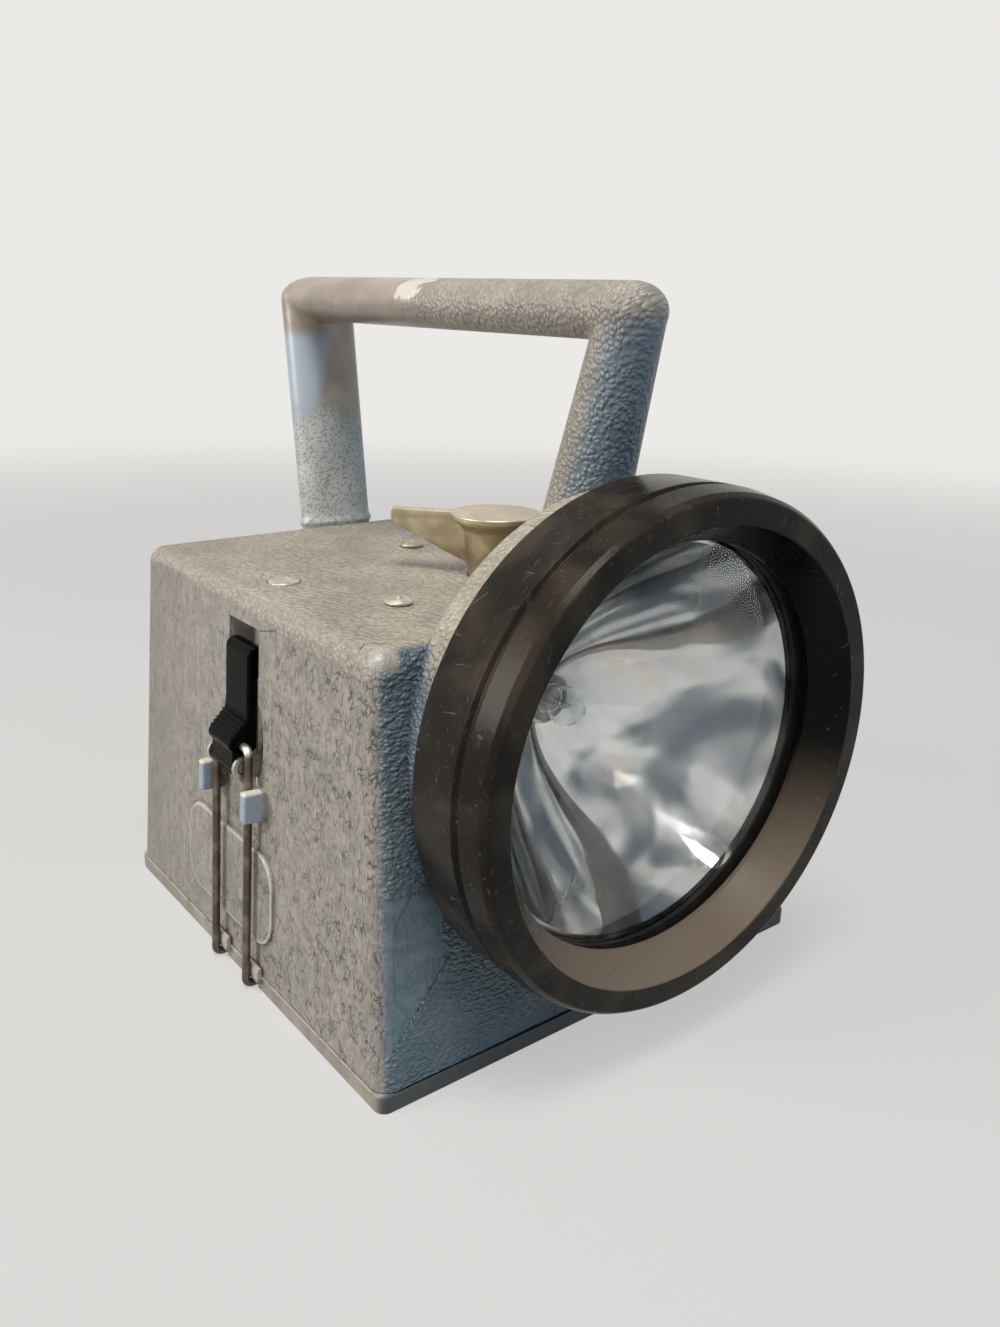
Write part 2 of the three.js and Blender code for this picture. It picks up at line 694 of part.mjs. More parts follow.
// Reflector, gasket, glass and bezel
function reflectorSolid() {
  const inner = [];
  const outer = [];
  for (let i = 0; i <= reflector.rings; i += 1) {
    const radius = THREE.MathUtils.lerp(reflector.holeRadius, reflector.mouthRadius, i / reflector.rings);
    const y = vertexY - radius ** 2 / paraboloidScale;
    inner.push([radius, y]);
    outer.push([radius + reflector.sheet, y + reflector.sheet / 2]);
  }
  const flangeRadius = reflector.mouthRadius + reflector.flangeWidth;
  const flangeBackY = reflectorFrontY + reflector.flangeThickness;
  const last = outer.pop();
  return turnedOnLamp([
    ...inner,
    [flangeRadius, reflectorFrontY],
    [flangeRadius, flangeBackY],
    [last[0], flangeBackY],
    ...outer.reverse(),
  ]);
}

function bezelSolid() {
  const bore = thread.radius + thread.gap;
  const grooveY = lampFrontY + bezel.grooveOffset;
  const seatBackY = seatY + bezel.seatLip;
  return turnedOnLamp([
    [bezel.mouthRadius, lampFrontY],
    [bezel.lipRadius - bezel.lipRound, lampFrontY],
    [bezel.lipRadius, lampFrontY + bezel.lipRound],
    [bezel.bandRadius, grooveY - bezel.grooveWidth],
    [bezel.bandRadius - bezel.grooveDepth, grooveY - bezel.grooveWidth / 2],
    [bezel.bandRadius - bezel.grooveDepth, grooveY + bezel.grooveWidth / 2],
    [bezel.bandRadius, grooveY + bezel.grooveWidth],
    [bezel.backRadius, bezelBackY - bezel.backChamfer],
    [bezel.backRadius - bezel.backChamfer, bezelBackY],
    [bore, bezelBackY],
    [bore, seatBackY],
    [bezel.seatRadius, seatBackY],
    [bezel.seatRadius, seatY],
  ]);
}

const glassRadius = thread.radius + thread.gap - seatGap;
addPiece('reflector', reflectorSolid(), mirror);
addPiece('glass_gasket', lampRing(
  glassRadius - glassGasket.width, glassRadius, gasketFrontY, gasketFrontY + glassGasket.thickness,
), blackRubber);
addPiece('front_glass', lampRod(glassRadius, glassFrontY, glassFrontY + glass.thickness), clearGlass);
addPiece('bezel_ring', bezelSolid(), blackRubber);

// Bulb in its holder behind the reflector
const holeBackY = vertexY - reflector.holeRadius ** 2 / paraboloidScale + reflector.sheet / 2;
const holderFlangeY = holeBackY + seatGap;
const holderFrontY = holeBackY - holder.proud;
const holderBackY = holderFrontY + holder.length;
const bulbFlangeY = holderFrontY - seatGap - bulb.flangeThickness;
const capBackY = holderBackY - tailSpring.length;

function bulbGlassSolid() {
  const backY = bulbFlangeY - seatGap;
  const centreY = backY - bulb.length + bulb.glassRadius;
  const profile = [[0, backY]];
  profile.push([bulb.capRadius - seatGap, backY]);
  const steps = boreFacets / 4;
  for (let i = 0; i <= steps; i += 1) {
    const angle = (i / steps) * (Math.PI / 2);
    profile.push([bulb.glassRadius * Math.cos(angle), centreY - bulb.glassRadius * Math.sin(angle)]);
  }
  return turnedOnLamp(profile, boreFacets);
}

function bulbCapSolid() {
  return turnedOnLamp([
    [0, bulbFlangeY],
    [bulb.flangeRadius, bulbFlangeY],
    [bulb.flangeRadius, bulbFlangeY + bulb.flangeThickness],
    [bulb.capRadius, bulbFlangeY + bulb.flangeThickness],
    [bulb.capRadius, capBackY],
    [0, capBackY],
  ], boreFacets);
}

function holderSolid() {
  return turnedOnLamp([
    [holder.boreRadius, holderFrontY],
    [reflector.holeRadius - seatGap, holderFrontY],
    [reflector.holeRadius - seatGap, holderFlangeY],
    [holder.flangeRadius, holderFlangeY],
    [holder.flangeRadius, holderFlangeY + holder.flangeThickness],
    [holder.outerRadius, holderFlangeY + holder.flangeThickness],
    [holder.outerRadius, holderBackY],
    [holder.boreRadius, holderBackY],
  ], boreFacets);
}

addPiece('bulb_glass', bulbGlassSolid(), clearGlass);
addPiece('bulb_cap', bulbCapSolid(), brass);
addPiece('bulb_holder', holderSolid(), brightSteel);
addPiece('tail_spring', lampRod(tailSpring.radius, capBackY + seatGap, holderBackY, boreFacets), brass);
addPiece('tail_disc', lampRod(
  tailDisc.radius, holderBackY + seatGap, holderBackY + seatGap + tailDisc.thickness, boreFacets,
), fibreBoard);

// Morse key
function knobSolid() {
  const discUnder = knobTop - key.discThickness;
  const postTop = discUnder - key.coneHeight;
  const profile = [
    [0, plateBottom - contactBridge.thickness - seatGap * 2 - stemNut.thickness],
    [key.tailRadius, plateBottom - contactBridge.thickness - seatGap * 2 - stemNut.thickness],
    [key.tailRadius, plateBottom],
    [key.stemRadius, plateBottom],
    [key.stemRadius, postBottom],
    [key.postRadius, postBottom],
    [key.postRadius, postTop - key.postTaper],
    [key.coneRadius, postTop],
    [key.discRadius, discUnder],
    [key.discRadius, knobTop],
    [0, knobTop],
  ];
  const web = outlineOf([
    [0, knobTop],
    [key.leverReach, knobTop],
    [key.leverReach, knobTop - key.leverTipDepth + key.leverTipChamfer],
    [key.leverReach - key.leverTipChamfer, knobTop - key.leverTipDepth],
    [key.postRadius, knobTop - key.leverRootDepth],
    [0, knobTop - key.leverRootDepth],
  ]);
  const webGeometry = geometryOf(sidePlate(web, -key.leverThickness / 2, key.leverThickness / 2));
  webGeometry.rotateZ(key.leverAngle);
  webGeometry.translate(0, keyY, 0);
  return joined(turnedAt(profile, 0, keyY), solidOf(webGeometry));
}

function keyCupSolid() {
  const top = roofUnderside - seatGap;
  const low = top - keyCup.depth;
  const bore = key.postRadius + runGap;
  return turnedAt([
    [key.stemRadius + runGap, low], [keyCup.outerRadius, low], [keyCup.outerRadius, top],
    [bore, top], [bore, low + keyCup.floor], [key.stemRadius + runGap, low + keyCup.floor],
  ], 0, keyY);
}

function keySpringSolid() {
  const low = roofUnderside - seatGap - keyCup.depth + keyCup.floor + seatGap;
  return turnedAt([
    [keySpring.innerRadius, low], [keySpring.outerRadius, low],
    [keySpring.outerRadius, postBottom - seatGap], [keySpring.innerRadius, postBottom - seatGap],
  ], 0, keyY);
}

function contactPlateSolid() {
  const reach = contactPlate.cornerRadius;
  const [left, right, rear] = rivetPlaces;
  const shape = new THREE.Shape();
  const lean = Math.atan2(rear[1] - right[1], right[0]);
  shape.absarc(left[0], left[1], reach, Math.PI / 2 + lean, Math.PI * 1.5);
  shape.absarc(right[0], right[1], reach, -Math.PI / 2, Math.PI / 2 - lean);
  shape.absarc(rear[0], rear[1], reach, Math.PI / 2 - lean, Math.PI / 2 + lean);
  shape.closePath();
  const holes = rivetPlaces.map(([x, y]) => rod(
    topRivet.shankRadius + seatGap, plateBottom - overrun, plateTop + overrun, x, y, pinFacets));
  const stemHole = rod(key.stemRadius + runGap, plateBottom - overrun, plateTop + overrun, 0, keyY);
  return cut(plate(shape, plateBottom, plateTop), stemHole, ...holes);
}

const bridgeTop = plateBottom - seatGap;
const bridgeBottom = bridgeTop - contactBridge.thickness;
const stripTop = bridgeBottom - key.travel - seatGap;

function contactStripSolid(side) {
  const shape = outlineOf([
    [contactStrip.toe, stripTop - contactStrip.thickness],
    [contactStrip.offset + contactStrip.thickness, stripTop - contactStrip.thickness],
    [contactStrip.offset + contactStrip.thickness, bridgeTop],
    [contactStrip.offset, bridgeTop],
    [contactStrip.offset, stripTop],
    [contactStrip.toe, stripTop],
  ].map(([x, z]) => [side * x, z]));
  return sidePlate(shape, keyY - contactStrip.width / 2, keyY + contactStrip.width / 2);
}

addPiece('switch_knob', knobSolid(), nickel);
addPiece('key_cup', keyCupSolid(), brass);
addPiece('key_spring', keySpringSolid(), brightSteel);
addPiece('contact_plate', contactPlateSolid(), fibreBoard);
addPiece('contact_bridge', turnedAt([
  [key.tailRadius + seatGap, bridgeBottom], [contactBridge.radius, bridgeBottom],
  [contactBridge.radius, bridgeTop], [key.tailRadius + seatGap, bridgeTop],
], 0, keyY), brass);
addPiece('stem_nut', turnedAt([
  [key.tailRadius + seatGap, bridgeBottom - seatGap - stemNut.thickness],
  [stemNut.radius, bridgeBottom - seatGap - stemNut.thickness],
  [stemNut.radius, bridgeBottom - seatGap],
  [key.tailRadius + seatGap, bridgeBottom - seatGap],
], 0, keyY, pinFacets), brass);
addSet('contact_strip', [-1, 1].map(contactStripSolid), brass);

// Rivets and spacers under the top, and the flush disc
function topRivetSolid(x, y) {
  const seat = body.height + seatGap;
  const tailTop = plateBottom - seatGap;
  const crown = seat + topRivet.headHeight;
  return turnedAt([
    [0, tailTop - rivetTail.thickness],
    [rivetTail.radius, tailTop - rivetTail.thickness],
    [rivetTail.radius, tailTop],
    [topRivet.shankRadius, tailTop],
    [topRivet.shankRadius, seat],
    [topRivet.headRadius, seat],
    [topRivet.headRadius, seat + topRivet.headHeight / 3],
    [topRivet.headRadius * Math.SQRT1_2, seat + topRivet.headHeight * Math.SQRT1_2],
    [topRivet.pipRadius, crown - topRivet.pipHeight],
    [topRivet.pipRadius, crown],
    [0, crown],
  ], x, y, boreFacets / 2);
}

addSet('top_rivet', rivetPlaces.map(([x, y]) => topRivetSolid(x, y)), castAlloy);
addSet('rivet_spacer', rivetPlaces.map(([x, y]) => turnedAt([
  [topRivet.shankRadius + seatGap, plateTop + seatGap], [rivetSpacerRadius, plateTop + seatGap],
  [rivetSpacerRadius, roofUnderside - seatGap], [topRivet.shankRadius + seatGap, roofUnderside - seatGap],
], x, y, pinFacets)), brightSteel);
addPiece('blanking_disc', rod(blankDisc.radius, body.height - blankDisc.thickness + seatGap,
  body.height + blankDisc.proud, discPlace.x, discPlace.y), castAlloy);

// Lever latch
function leverSolid() {
  const pivot = [-latch.pivotOut, latch.pivotHeight];
  const shape = new THREE.Shape();
  shape.absarc(pivot[0], pivot[1], lever.bottomRadius, Math.PI, Math.PI * 2);
  shape.lineTo(-latch.pivotOut + lever.bottomRadius, (latch.pivotHeight + lever.heelHeight) / 2);
  shape.lineTo(lever.backIn, lever.heelHeight);
  shape.lineTo(lever.backIn, lever.top - lever.topRound);
  shape.lineTo(lever.backIn - lever.topRound, lever.top);
  shape.lineTo(-lever.faceOut + lever.topRound, lever.top);
  shape.lineTo(-lever.faceOut, lever.top - lever.topRound);
  shape.lineTo(-lever.faceOut, lever.padTop);
  shape.lineTo(-lever.padOut, lever.padTip);
  shape.lineTo(-lever.padOut - seatGap, (lever.padTip + lever.padBottom) / 2);
  shape.lineTo(-lever.padOut, lever.padBottom);
  shape.closePath();
  const bore = (radius, out, height) => {
    const geometry = new THREE.CylinderGeometry(radius, radius, (lever.halfWidth + overrun) * 2, pinFacets);
    geometry.translate(-out, 0, height);
    return solidOf(geometry);
  };
  return cut(
    sidePlate(shape, -lever.halfWidth, lever.halfWidth),
    bore(latch.pinRadius + runGap, latch.pivotOut, latch.pivotHeight),
    bore(bail.wireRadius + runGap, bail.out, bail.eyeHeight),
  );
}

function bracketSolid() {
  const innerY = lever.halfWidth + runGap;
  const outerY = innerY + bracket.sheet;
  const backX = latch.pocketDepth - seatGap - bracket.sheet;
  const back = block([backX, -outerY, bracket.bottom], [backX + bracket.sheet, outerY, bracket.top]);
  const ear = new THREE.Shape();
  ear.moveTo(backX + bracket.sheet, bracket.bottom);
  ear.lineTo(backX + bracket.sheet, bracket.top);
  ear.lineTo(backX - bracket.sheet, bracket.top);
  ear.lineTo(bracket.cheekIn, bracket.top - (backX - bracket.cheekIn));
  ear.lineTo(bracket.cheekIn, latch.pivotHeight + bracket.earRadius);
  ear.lineTo(-latch.pivotOut, latch.pivotHeight + bracket.earRadius);
  ear.absarc(-latch.pivotOut, latch.pivotHeight, bracket.earRadius, Math.PI / 2, Math.PI * 1.5);
  ear.lineTo(bracket.cheekIn, latch.pivotHeight - bracket.earRadius);
  ear.lineTo(bracket.cheekIn, bracket.bottom);
  ear.closePath();
  const pinHole = new THREE.CylinderGeometry(
    latch.pinRadius + seatGap, latch.pinRadius + seatGap, (outerY + overrun) * 2, pinFacets);
  pinHole.translate(-latch.pivotOut, 0, latch.pivotHeight);
  const rivetHoles = bracketRivet.heights.map((height) => {
    const hole = new THREE.CylinderGeometry(
      bracketRivet.radius + seatGap, bracketRivet.radius + seatGap, bracket.sheet + overrun * 2, pinFacets);
    hole.rotateZ(Math.PI / 2);
    hole.translate(backX + bracket.sheet / 2, 0, height);
    return solidOf(hole);
  });
  return cut(joined(back, sidePlate(ear, -outerY, -innerY), sidePlate(ear, innerY, outerY)),
    solidOf(pinHole), ...rivetHoles);
}

function leverPinSolid() {
  const length = (lever.halfWidth + runGap + bracket.sheet) * 2;
  const geometry = new THREE.CylinderGeometry(latch.pinRadius, latch.pinRadius, length, pinFacets);
  geometry.translate(-latch.pivotOut, 0, latch.pivotHeight);
  return solidOf(geometry);
}

function bailSolid() {
  const eye = wallPoint(bail.out, bail.eyeHeight);
  const floorZ = bail.floorGap + bail.wireRadius;
  const foot = wallPoint(bail.out, floorZ);
  const at = (point, y) => new THREE.Vector3(point.x, y, point.z);
  const legEnd = new THREE.Vector3(foot.x, 0, floorZ);
  const up = at(eye, 0).sub(legEnd).normalize().multiplyScalar(bail.bend);
  const path = new THREE.CurvePath();
  const corner = (before, middle, after) => path.add(new THREE.QuadraticBezierCurve3(before, middle, after));
  const line = (from, to) => path.add(new THREE.LineCurve3(from, to));
  const side = (y) => ({
    tip: new THREE.Vector3(foot.x + bail.hookReach, y, floorZ),
    heelIn: new THREE.Vector3(foot.x + bail.bend, y, floorZ),
    heel: new THREE.Vector3(foot.x, y, floorZ),
    heelUp: new THREE.Vector3(foot.x, y, floorZ).add(up),
    shoulderDown: at(eye, y).sub(up),
    shoulder: at(eye, y),
    shoulderIn: at(eye, y - Math.sign(y) * bail.bend),
  });
  const [near, far] = [side(-bail.halfSpread), side(bail.halfSpread)];
  line(near.tip, near.heelIn);
  corner(near.heelIn, near.heel, near.heelUp);
  line(near.heelUp, near.shoulderDown);
  corner(near.shoulderDown, near.shoulder, near.shoulderIn);
  line(near.shoulderIn, far.shoulderIn);
  corner(far.shoulderIn, far.shoulder, far.shoulderDown);
  line(far.shoulderDown, far.heelUp);
  corner(far.heelUp, far.heel, far.heelIn);
  line(far.heelIn, far.tip);
  return wireAlong(path, bail.wireRadius, bailSteps);
}

function bracketRivetSolid(height) {
  const backX = latch.pocketDepth - seatGap - bracket.sheet;
  const headX = backX - seatGap;
  const profile = [
    [0, -headX + bracketRivet.headHeight], [bracketRivet.headRadius, -headX],
    [bracketRivet.radius, -headX], [bracketRivet.radius, -latch.pocketDepth + seatGap],
    [0, -latch.pocketDepth + seatGap],
  ];
  const geometry = new THREE.LatheGeometry(
    [...profile, profile[0]].map(([radius, along]) => new THREE.Vector2(radius, along)), pinFacets);
  geometry.rotateZ(Math.PI / 2);
  geometry.translate(0, 0, height);
  return solidOf(geometry);
}

addPiece('latch_lever', onLeftWall(leverSolid()), blackPlastic);
addPiece('latch_bracket', onLeftWall(bracketSolid()), brightSteel);
addPiece('lever_pin', onLeftWall(leverPinSolid()), brightSteel);
const bracketRivets = bracketRivet.heights.map((height) => onLeftWall(bracketRivetSolid(height)));
addSet('bracket_rivet', bracketRivets, brightSteel);
addPiece('wire_bail', bailSolid(), darkSteel);

// Leads from the terminal board to the bulb and to the contacts
function leadSolid(points) {
  return wireAlong(new THREE.CatmullRomCurve3(points), lead.radius, leadSteps);
}

const boardFrontY = cellsY - board.depth / 2;
const boardMiddle = boardBottom + board.thickness / 2;
const tailBackY = holderBackY + seatGap + tailDisc.thickness;
addPiece('bulb_lead', leadSolid([
  new THREE.Vector3(0, tailBackY + seatGap, lamp.axisHeight),
  new THREE.Vector3(0, (tailBackY * 2 + boardFrontY) / 3, lamp.axisHeight - lead.sag / 3),
  new THREE.Vector3(0, (tailBackY + boardFrontY * 2) / 3, boardMiddle + lead.sag / 4),
  new THREE.Vector3(0, boardFrontY - seatGap, boardMiddle),
]), blackPlastic);

export default lampPart;
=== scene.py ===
import math

import bmesh
import bpy
from mathutils import Euler, Matrix, Quaternion, Vector, noise


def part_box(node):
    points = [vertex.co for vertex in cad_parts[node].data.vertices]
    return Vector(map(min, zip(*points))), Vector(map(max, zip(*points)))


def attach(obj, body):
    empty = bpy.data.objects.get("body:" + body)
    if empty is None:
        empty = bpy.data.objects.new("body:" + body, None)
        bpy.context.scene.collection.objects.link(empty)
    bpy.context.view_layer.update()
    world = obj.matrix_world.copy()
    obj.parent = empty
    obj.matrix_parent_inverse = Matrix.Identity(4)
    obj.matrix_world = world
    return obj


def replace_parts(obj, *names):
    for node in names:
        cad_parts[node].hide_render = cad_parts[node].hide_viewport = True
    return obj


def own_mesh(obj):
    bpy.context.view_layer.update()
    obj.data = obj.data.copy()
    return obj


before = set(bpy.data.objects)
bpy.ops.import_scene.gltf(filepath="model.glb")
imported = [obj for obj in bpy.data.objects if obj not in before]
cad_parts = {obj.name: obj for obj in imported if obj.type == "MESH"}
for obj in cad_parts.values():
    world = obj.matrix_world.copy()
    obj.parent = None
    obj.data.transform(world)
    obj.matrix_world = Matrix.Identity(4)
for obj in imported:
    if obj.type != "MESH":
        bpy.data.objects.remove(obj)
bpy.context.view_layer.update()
scene = bpy.context.scene
scene.view_settings.view_transform = "Standard"


# Camera
# It stands in front of the lamp's left corner, a little above the key, and leans over by a degree
# and a half, as the photograph was taken.
camera_place = Vector((-0.18909, -0.26110, 0.18700))
camera_yaw = 0.669
camera_pitch = 0.322
camera_roll = 0.027
sensor_width = 36
focal_length = 30.03
camera_data = bpy.data.cameras.new("camera")
camera_data.sensor_width = sensor_width
camera_data.lens = focal_length
camera = bpy.data.objects.new("camera", camera_data)
camera.location = camera_place
level_turn = Euler((math.pi / 2 - camera_pitch, 0, -camera_yaw)).to_quaternion()
camera.rotation_mode = "QUATERNION"
camera.rotation_quaternion = level_turn @ Quaternion((0, 0, 1), camera_roll)
scene.collection.objects.link(camera)
scene.camera = camera


# Base plate
# A die-cast plate with two small ears on its left edge that the wire bail hooks under. Its casting
# skin is the same dull grey as the box, painted darker and bluer towards the front as shade, and its
# top edge is worn bright, partly a painted highlight.
class Value:
    """A socket of a material, so that shader maths reads as a sum."""

    def __init__(self, recipe, socket):
        self.recipe = recipe
        self.socket = socket

    def maths(self, operation, first, second):
        return self.recipe.node("ShaderNodeMath", {"operation": operation}, [first, second])

    def __add__(self, other):
        return self.maths("ADD", self, other)

    __radd__ = __add__

    def __sub__(self, other):
        return self.maths("SUBTRACT", self, other)

    def __rsub__(self, other):
        return self.maths("SUBTRACT", other, self)

    def __mul__(self, other):
        return self.maths("MULTIPLY", self, other)

    __rmul__ = __mul__

    def __neg__(self):
        return self * -1

    def __abs__(self):
        return self.maths("ABSOLUTE", self, 0)


class Recipe:
    """A material that is being put together around its Principled shader."""

    def __init__(self, name):
        self.material = bpy.data.materials.new(name)
        self.material.use_nodes = True
        self.tree = self.material.node_tree
        self.shader = self.tree.nodes["Principled BSDF"]
        self.place = self.node("ShaderNodeTexCoord", {}, [], "Object")

    def node(self, kind, settings, values, output=0):
        made = self.tree.nodes.new(kind)
        for key, setting in settings.items():
            setattr(made, key, setting)
        for key, value in values.items() if isinstance(values, dict) else enumerate(values):
            self.feed(made.inputs[key], value)
        return Value(self, made.outputs[output])

    def feed(self, socket, value):
        if isinstance(value, Value):
            self.tree.links.new(value.socket, socket)
        else:
            socket.default_value = value

    def axes(self):
        return [self.node("ShaderNodeSeparateXYZ", {}, [self.place], axis) for axis in "XYZ"]

    def drawn_out(self, stretch, turn=(0, 0, 0)):
        """The place turned and then squeezed, so that a pattern on it is drawn out along an axis."""
        turned_place = self.node("ShaderNodeMapping", {}, {"Vector": self.place, "Rotation": turn})
        return self.node("ShaderNodeMapping", {}, {"Vector": turned_place, "Scale": stretch})

    def noise(self, size, detail, place=None, distortion=0.0):
        return self.node("ShaderNodeTexNoise", {}, {
            "Vector": place or self.place, "Scale": 1 / size, "Detail": detail,
            "Distortion": distortion,
        })

    def bumps(self, size, place):
        """Rounded bumps that touch each other, 1 at the top of each and 0 in the creases."""
        reach = self.node("ShaderNodeTexVoronoi", {}, {"Vector": place, "Scale": 1 / size})
        return self.fall(reach, 0.0, 0.85)

    def warped(self, place, size, reach):
        """A place shifted about by noise, so that a pattern on it loses its straightness."""
        shift = self.node("ShaderNodeTexNoise", {}, {
            "Vector": self.place, "Scale": 1 / size, "Detail": 2.0}, "Color")
        centred = self.node("ShaderNodeVectorMath", {"operation": "SUBTRACT"}, [shift, (0.5, 0.5, 0.5)])
        scaled = self.node("ShaderNodeVectorMath", {"operation": "SCALE"}, {0: centred, "Scale": reach})
        return self.node("ShaderNodeVectorMath", {"operation": "ADD"}, [place, scaled])

    def rise(self, value, low, high):
        """0 below low, 1 above high, and smooth between them."""
        return self.node("ShaderNodeMapRange", {"interpolation_type": "SMOOTHSTEP"}, [value, low, high, 0, 1])

    def fall(self, value, low, high):
        """1 below low, 0 above high, and smooth between them."""
        return 1 - self.rise(value, low, high)

    def larger(self, first, second):
        return self.node("ShaderNodeMath", {"operation": "MAXIMUM"}, [first, second])

    def reach(self, across, up):
        """How far a point of a plane lies from its middle."""
        return self.node("ShaderNodeMath", {"operation": "POWER"}, [across * across + up * up, 0.5])

    def mix(self, share, first, second):
        return self.node("ShaderNodeMix", {"data_type": "RGBA"}, {0: share, 6: first, 7: second}, 2)

    def relief(self, height, depth, under=None):
        values = {"Height": height, "Distance": depth}
        if under:
            values["Normal"] = under
        return self.node("ShaderNodeBump", {}, values)

    def finish(self, color, roughness, normal=None, metallic=0.0, gloss=0.5):
        self.feed(self.shader.inputs["Base Color"], color)
        self.feed(self.shader.inputs["Roughness"], roughness)
        self.feed(self.shader.inputs["Metallic"], metallic)
        self.shader.inputs["Specular IOR Level"].default_value = gloss
        if normal:
            self.feed(self.shader.inputs["Normal"], normal)
        return self.material


def shade(red, green, blue):
    """A colour given as it looks on a screen, from 0 to 255."""
    return tuple(((part / 255 + 0.055) / 1.055) ** 2.4 for part in (red, green, blue)) + (1.0,)


casting_pale = shade(186, 180, 168)
casting_dark = shade(98, 93, 86)
casting_gloss = 0.4
casting_metallic = 0.08
plate_rim_wear_and_highlight = (0.0041, 0.0046)
plate_front_edge = (-0.0758, -0.0735)
plate_tone_size = 0.007
plate_fleck_size = 0.0009
plate_wear_size = 0.005
plate_relief = 0.0001


def plate_finish():
    recipe = Recipe("base_plate_casting")
    tone = recipe.noise(plate_tone_size, 4)
    fleck = recipe.noise(plate_fleck_size, 3)
    grey = recipe.mix(recipe.rise(tone, 0.35, 0.7), shade(138, 132, 122), shade(160, 153, 141))
    speckled = recipe.mix(recipe.rise(fleck, 0.56, 0.68) * 0.4, grey, casting_dark)
    y, height = recipe.axes()[1:]
    # The top edge is rubbed pale: wear, and partly a painted highlight along it.
    rim = recipe.rise(height, *plate_rim_wear_and_highlight) * recipe.rise(recipe.noise(plate_wear_size, 2), 0.3, 0.5)
    # Painted shade: darker and bluer towards the front edge.
    front_painted_shade = recipe.fall(y, *plate_front_edge)
    edged = recipe.mix(rim * 0.7, speckled, casting_pale)
    color = recipe.mix(front_painted_shade * 0.9, edged, shade(60, 66, 70))
    return recipe.finish(
        color, 0.42 + fleck * 0.2, recipe.relief(fleck, plate_relief), casting_metallic, casting_gloss)


merge_distance = 0.000002
flat_angle = math.radians(0.6)
crease_angle = math.radians(32)


def with_mesh(name, mesh, material):
    """A piece made from a bmesh."""
    data = bpy.data.meshes.new(name)
    mesh.to_mesh(data)
    mesh.free()
    for layer in [each for each in data.attributes if each.name == "custom_normal"]:
        data.attributes.remove(layer)
    data.materials.clear()
    data.materials.append(material)
    piece = bpy.data.objects.new(name, data)
    scene.collection.objects.link(piece)
    return piece


def applied(piece):
    """The piece with its modifiers made into mesh."""
    graph = bpy.context.evaluated_depsgraph_get()
    piece.data = bpy.data.meshes.new_from_object(piece.evaluated_get(graph))
    piece.modifiers.clear()
    return piece


def smoothed(piece, edge=0.0, steps=2, angle=crease_angle):
    """The piece with its sharp edges rounded by a small edge radius, shaded smooth between creases."""
    if edge:
        rounding = piece.modifiers.new("edges", "BEVEL")
        rounding.width = edge
        rounding.segments = steps
        rounding.limit_method = "ANGLE"
        rounding.angle_limit = angle
        applied(piece)
    piece.data.shade_smooth()
    piece.data.set_sharp_from_angle(angle=angle)
    weighted = piece.modifiers.new("weighted", "WEIGHTED_NORMAL")
    weighted.keep_sharp = True
    return applied(piece)


def copied(name, node, material, edge=0.0, steps=2):
    """A copy of a solid with its edges rounded, which stands for that node."""
    mesh = bmesh.new()
    mesh.from_mesh(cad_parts[node].data)
    bmesh.ops.remove_doubles(mesh, verts=mesh.verts, dist=merge_distance)
    bmesh.ops.dissolve_limit(mesh, angle_limit=flat_angle, verts=mesh.verts, edges=mesh.edges)
    piece = smoothed(with_mesh(name, mesh, material), edge, steps)
    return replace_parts(piece, node)


base_plate = copied("base_casting", "base_plate", plate_finish(), 0.0004, 3)
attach(base_plate, "lamp_body")


# Sealing cord, cell pad and claws
# A rubber cord lies in the groove round the plate, a rubber pad keeps the cells from rattling, and
# two bent steel claws hook over a ledge inside the box on the side away from the latch.
rubber_grain_size = 0.0006
rubber_dust_size = 0.006
rubber_relief = 0.00005


def rubber_finish():
    recipe = Recipe("black_rubber")
    grain = recipe.noise(rubber_grain_size, 3)
    dust = recipe.rise(recipe.noise(rubber_dust_size, 4), 0.5, 0.75)
    color = recipe.mix(dust * 0.3, shade(26, 24, 22), shade(84, 78, 68))
    return recipe.finish(color, 0.6 + grain * 0.2, recipe.relief(grain, rubber_relief))


dull_patch_size = 0.004
draw_line_size = 0.0003
draw_line_relief = 0.00002


def plated_finish(name, bright, dull):
    """Plated or bare metal with fine draw lines and dull patches."""
    recipe = Recipe(name)
    patch = recipe.rise(recipe.noise(dull_patch_size, 4), 0.4, 0.7)
    lines = recipe.noise(draw_line_size, 2, recipe.drawn_out((1, 0.08, 1)))
    color = recipe.mix(patch, bright, dull)
    normal = recipe.relief(lines, draw_line_relief)
    return recipe.finish(color, 0.28 + patch * 0.2 + lines * 0.08, normal, 1.0)


def dressed(node, material):
    """A solid that stays shown, in a material of its own."""
    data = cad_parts[node].data
    data.materials.clear()
    data.materials.append(material)


black_rubber = rubber_finish()
bright_steel = plated_finish("plated_steel", shade(206, 204, 198), shade(138, 132, 122))
for node in ("sealing_cord", "cell_pad", "glass_gasket"):
    dressed(node, black_rubber)
for node in ("base_claw_1", "base_claw_2"):
    dressed(node, bright_steel)


# Dry cells, tray and terminal board
# Four cells stand in a moulded tray and press on springs under a pressed-fibre board, which two
# screws hold to pillars in the box. None of this shows while the base plate is on.
sweep_size = 0.008
scuff_size = 0.0009
scuff_relief = 0.00001


def moulding_finish(name, base, lower_mouth_light):
    recipe = Recipe(name)
    sweep = recipe.rise(recipe.noise(sweep_size, 4), 0.4, 0.75)
    scuffs = recipe.rise(recipe.noise(scuff_size, 3, recipe.drawn_out((1, 1, 0.2))), 0.62, 0.7)
    color = recipe.mix(sweep * 0.5, base, lower_mouth_light)
    roughness = 0.16 + sweep * 0.12 + scuffs * 0.2
    return recipe.finish(color, roughness, recipe.relief(scuffs, scuff_relief), gloss=0.04)


strand_size = 0.0005
strand_relief = 0.00004


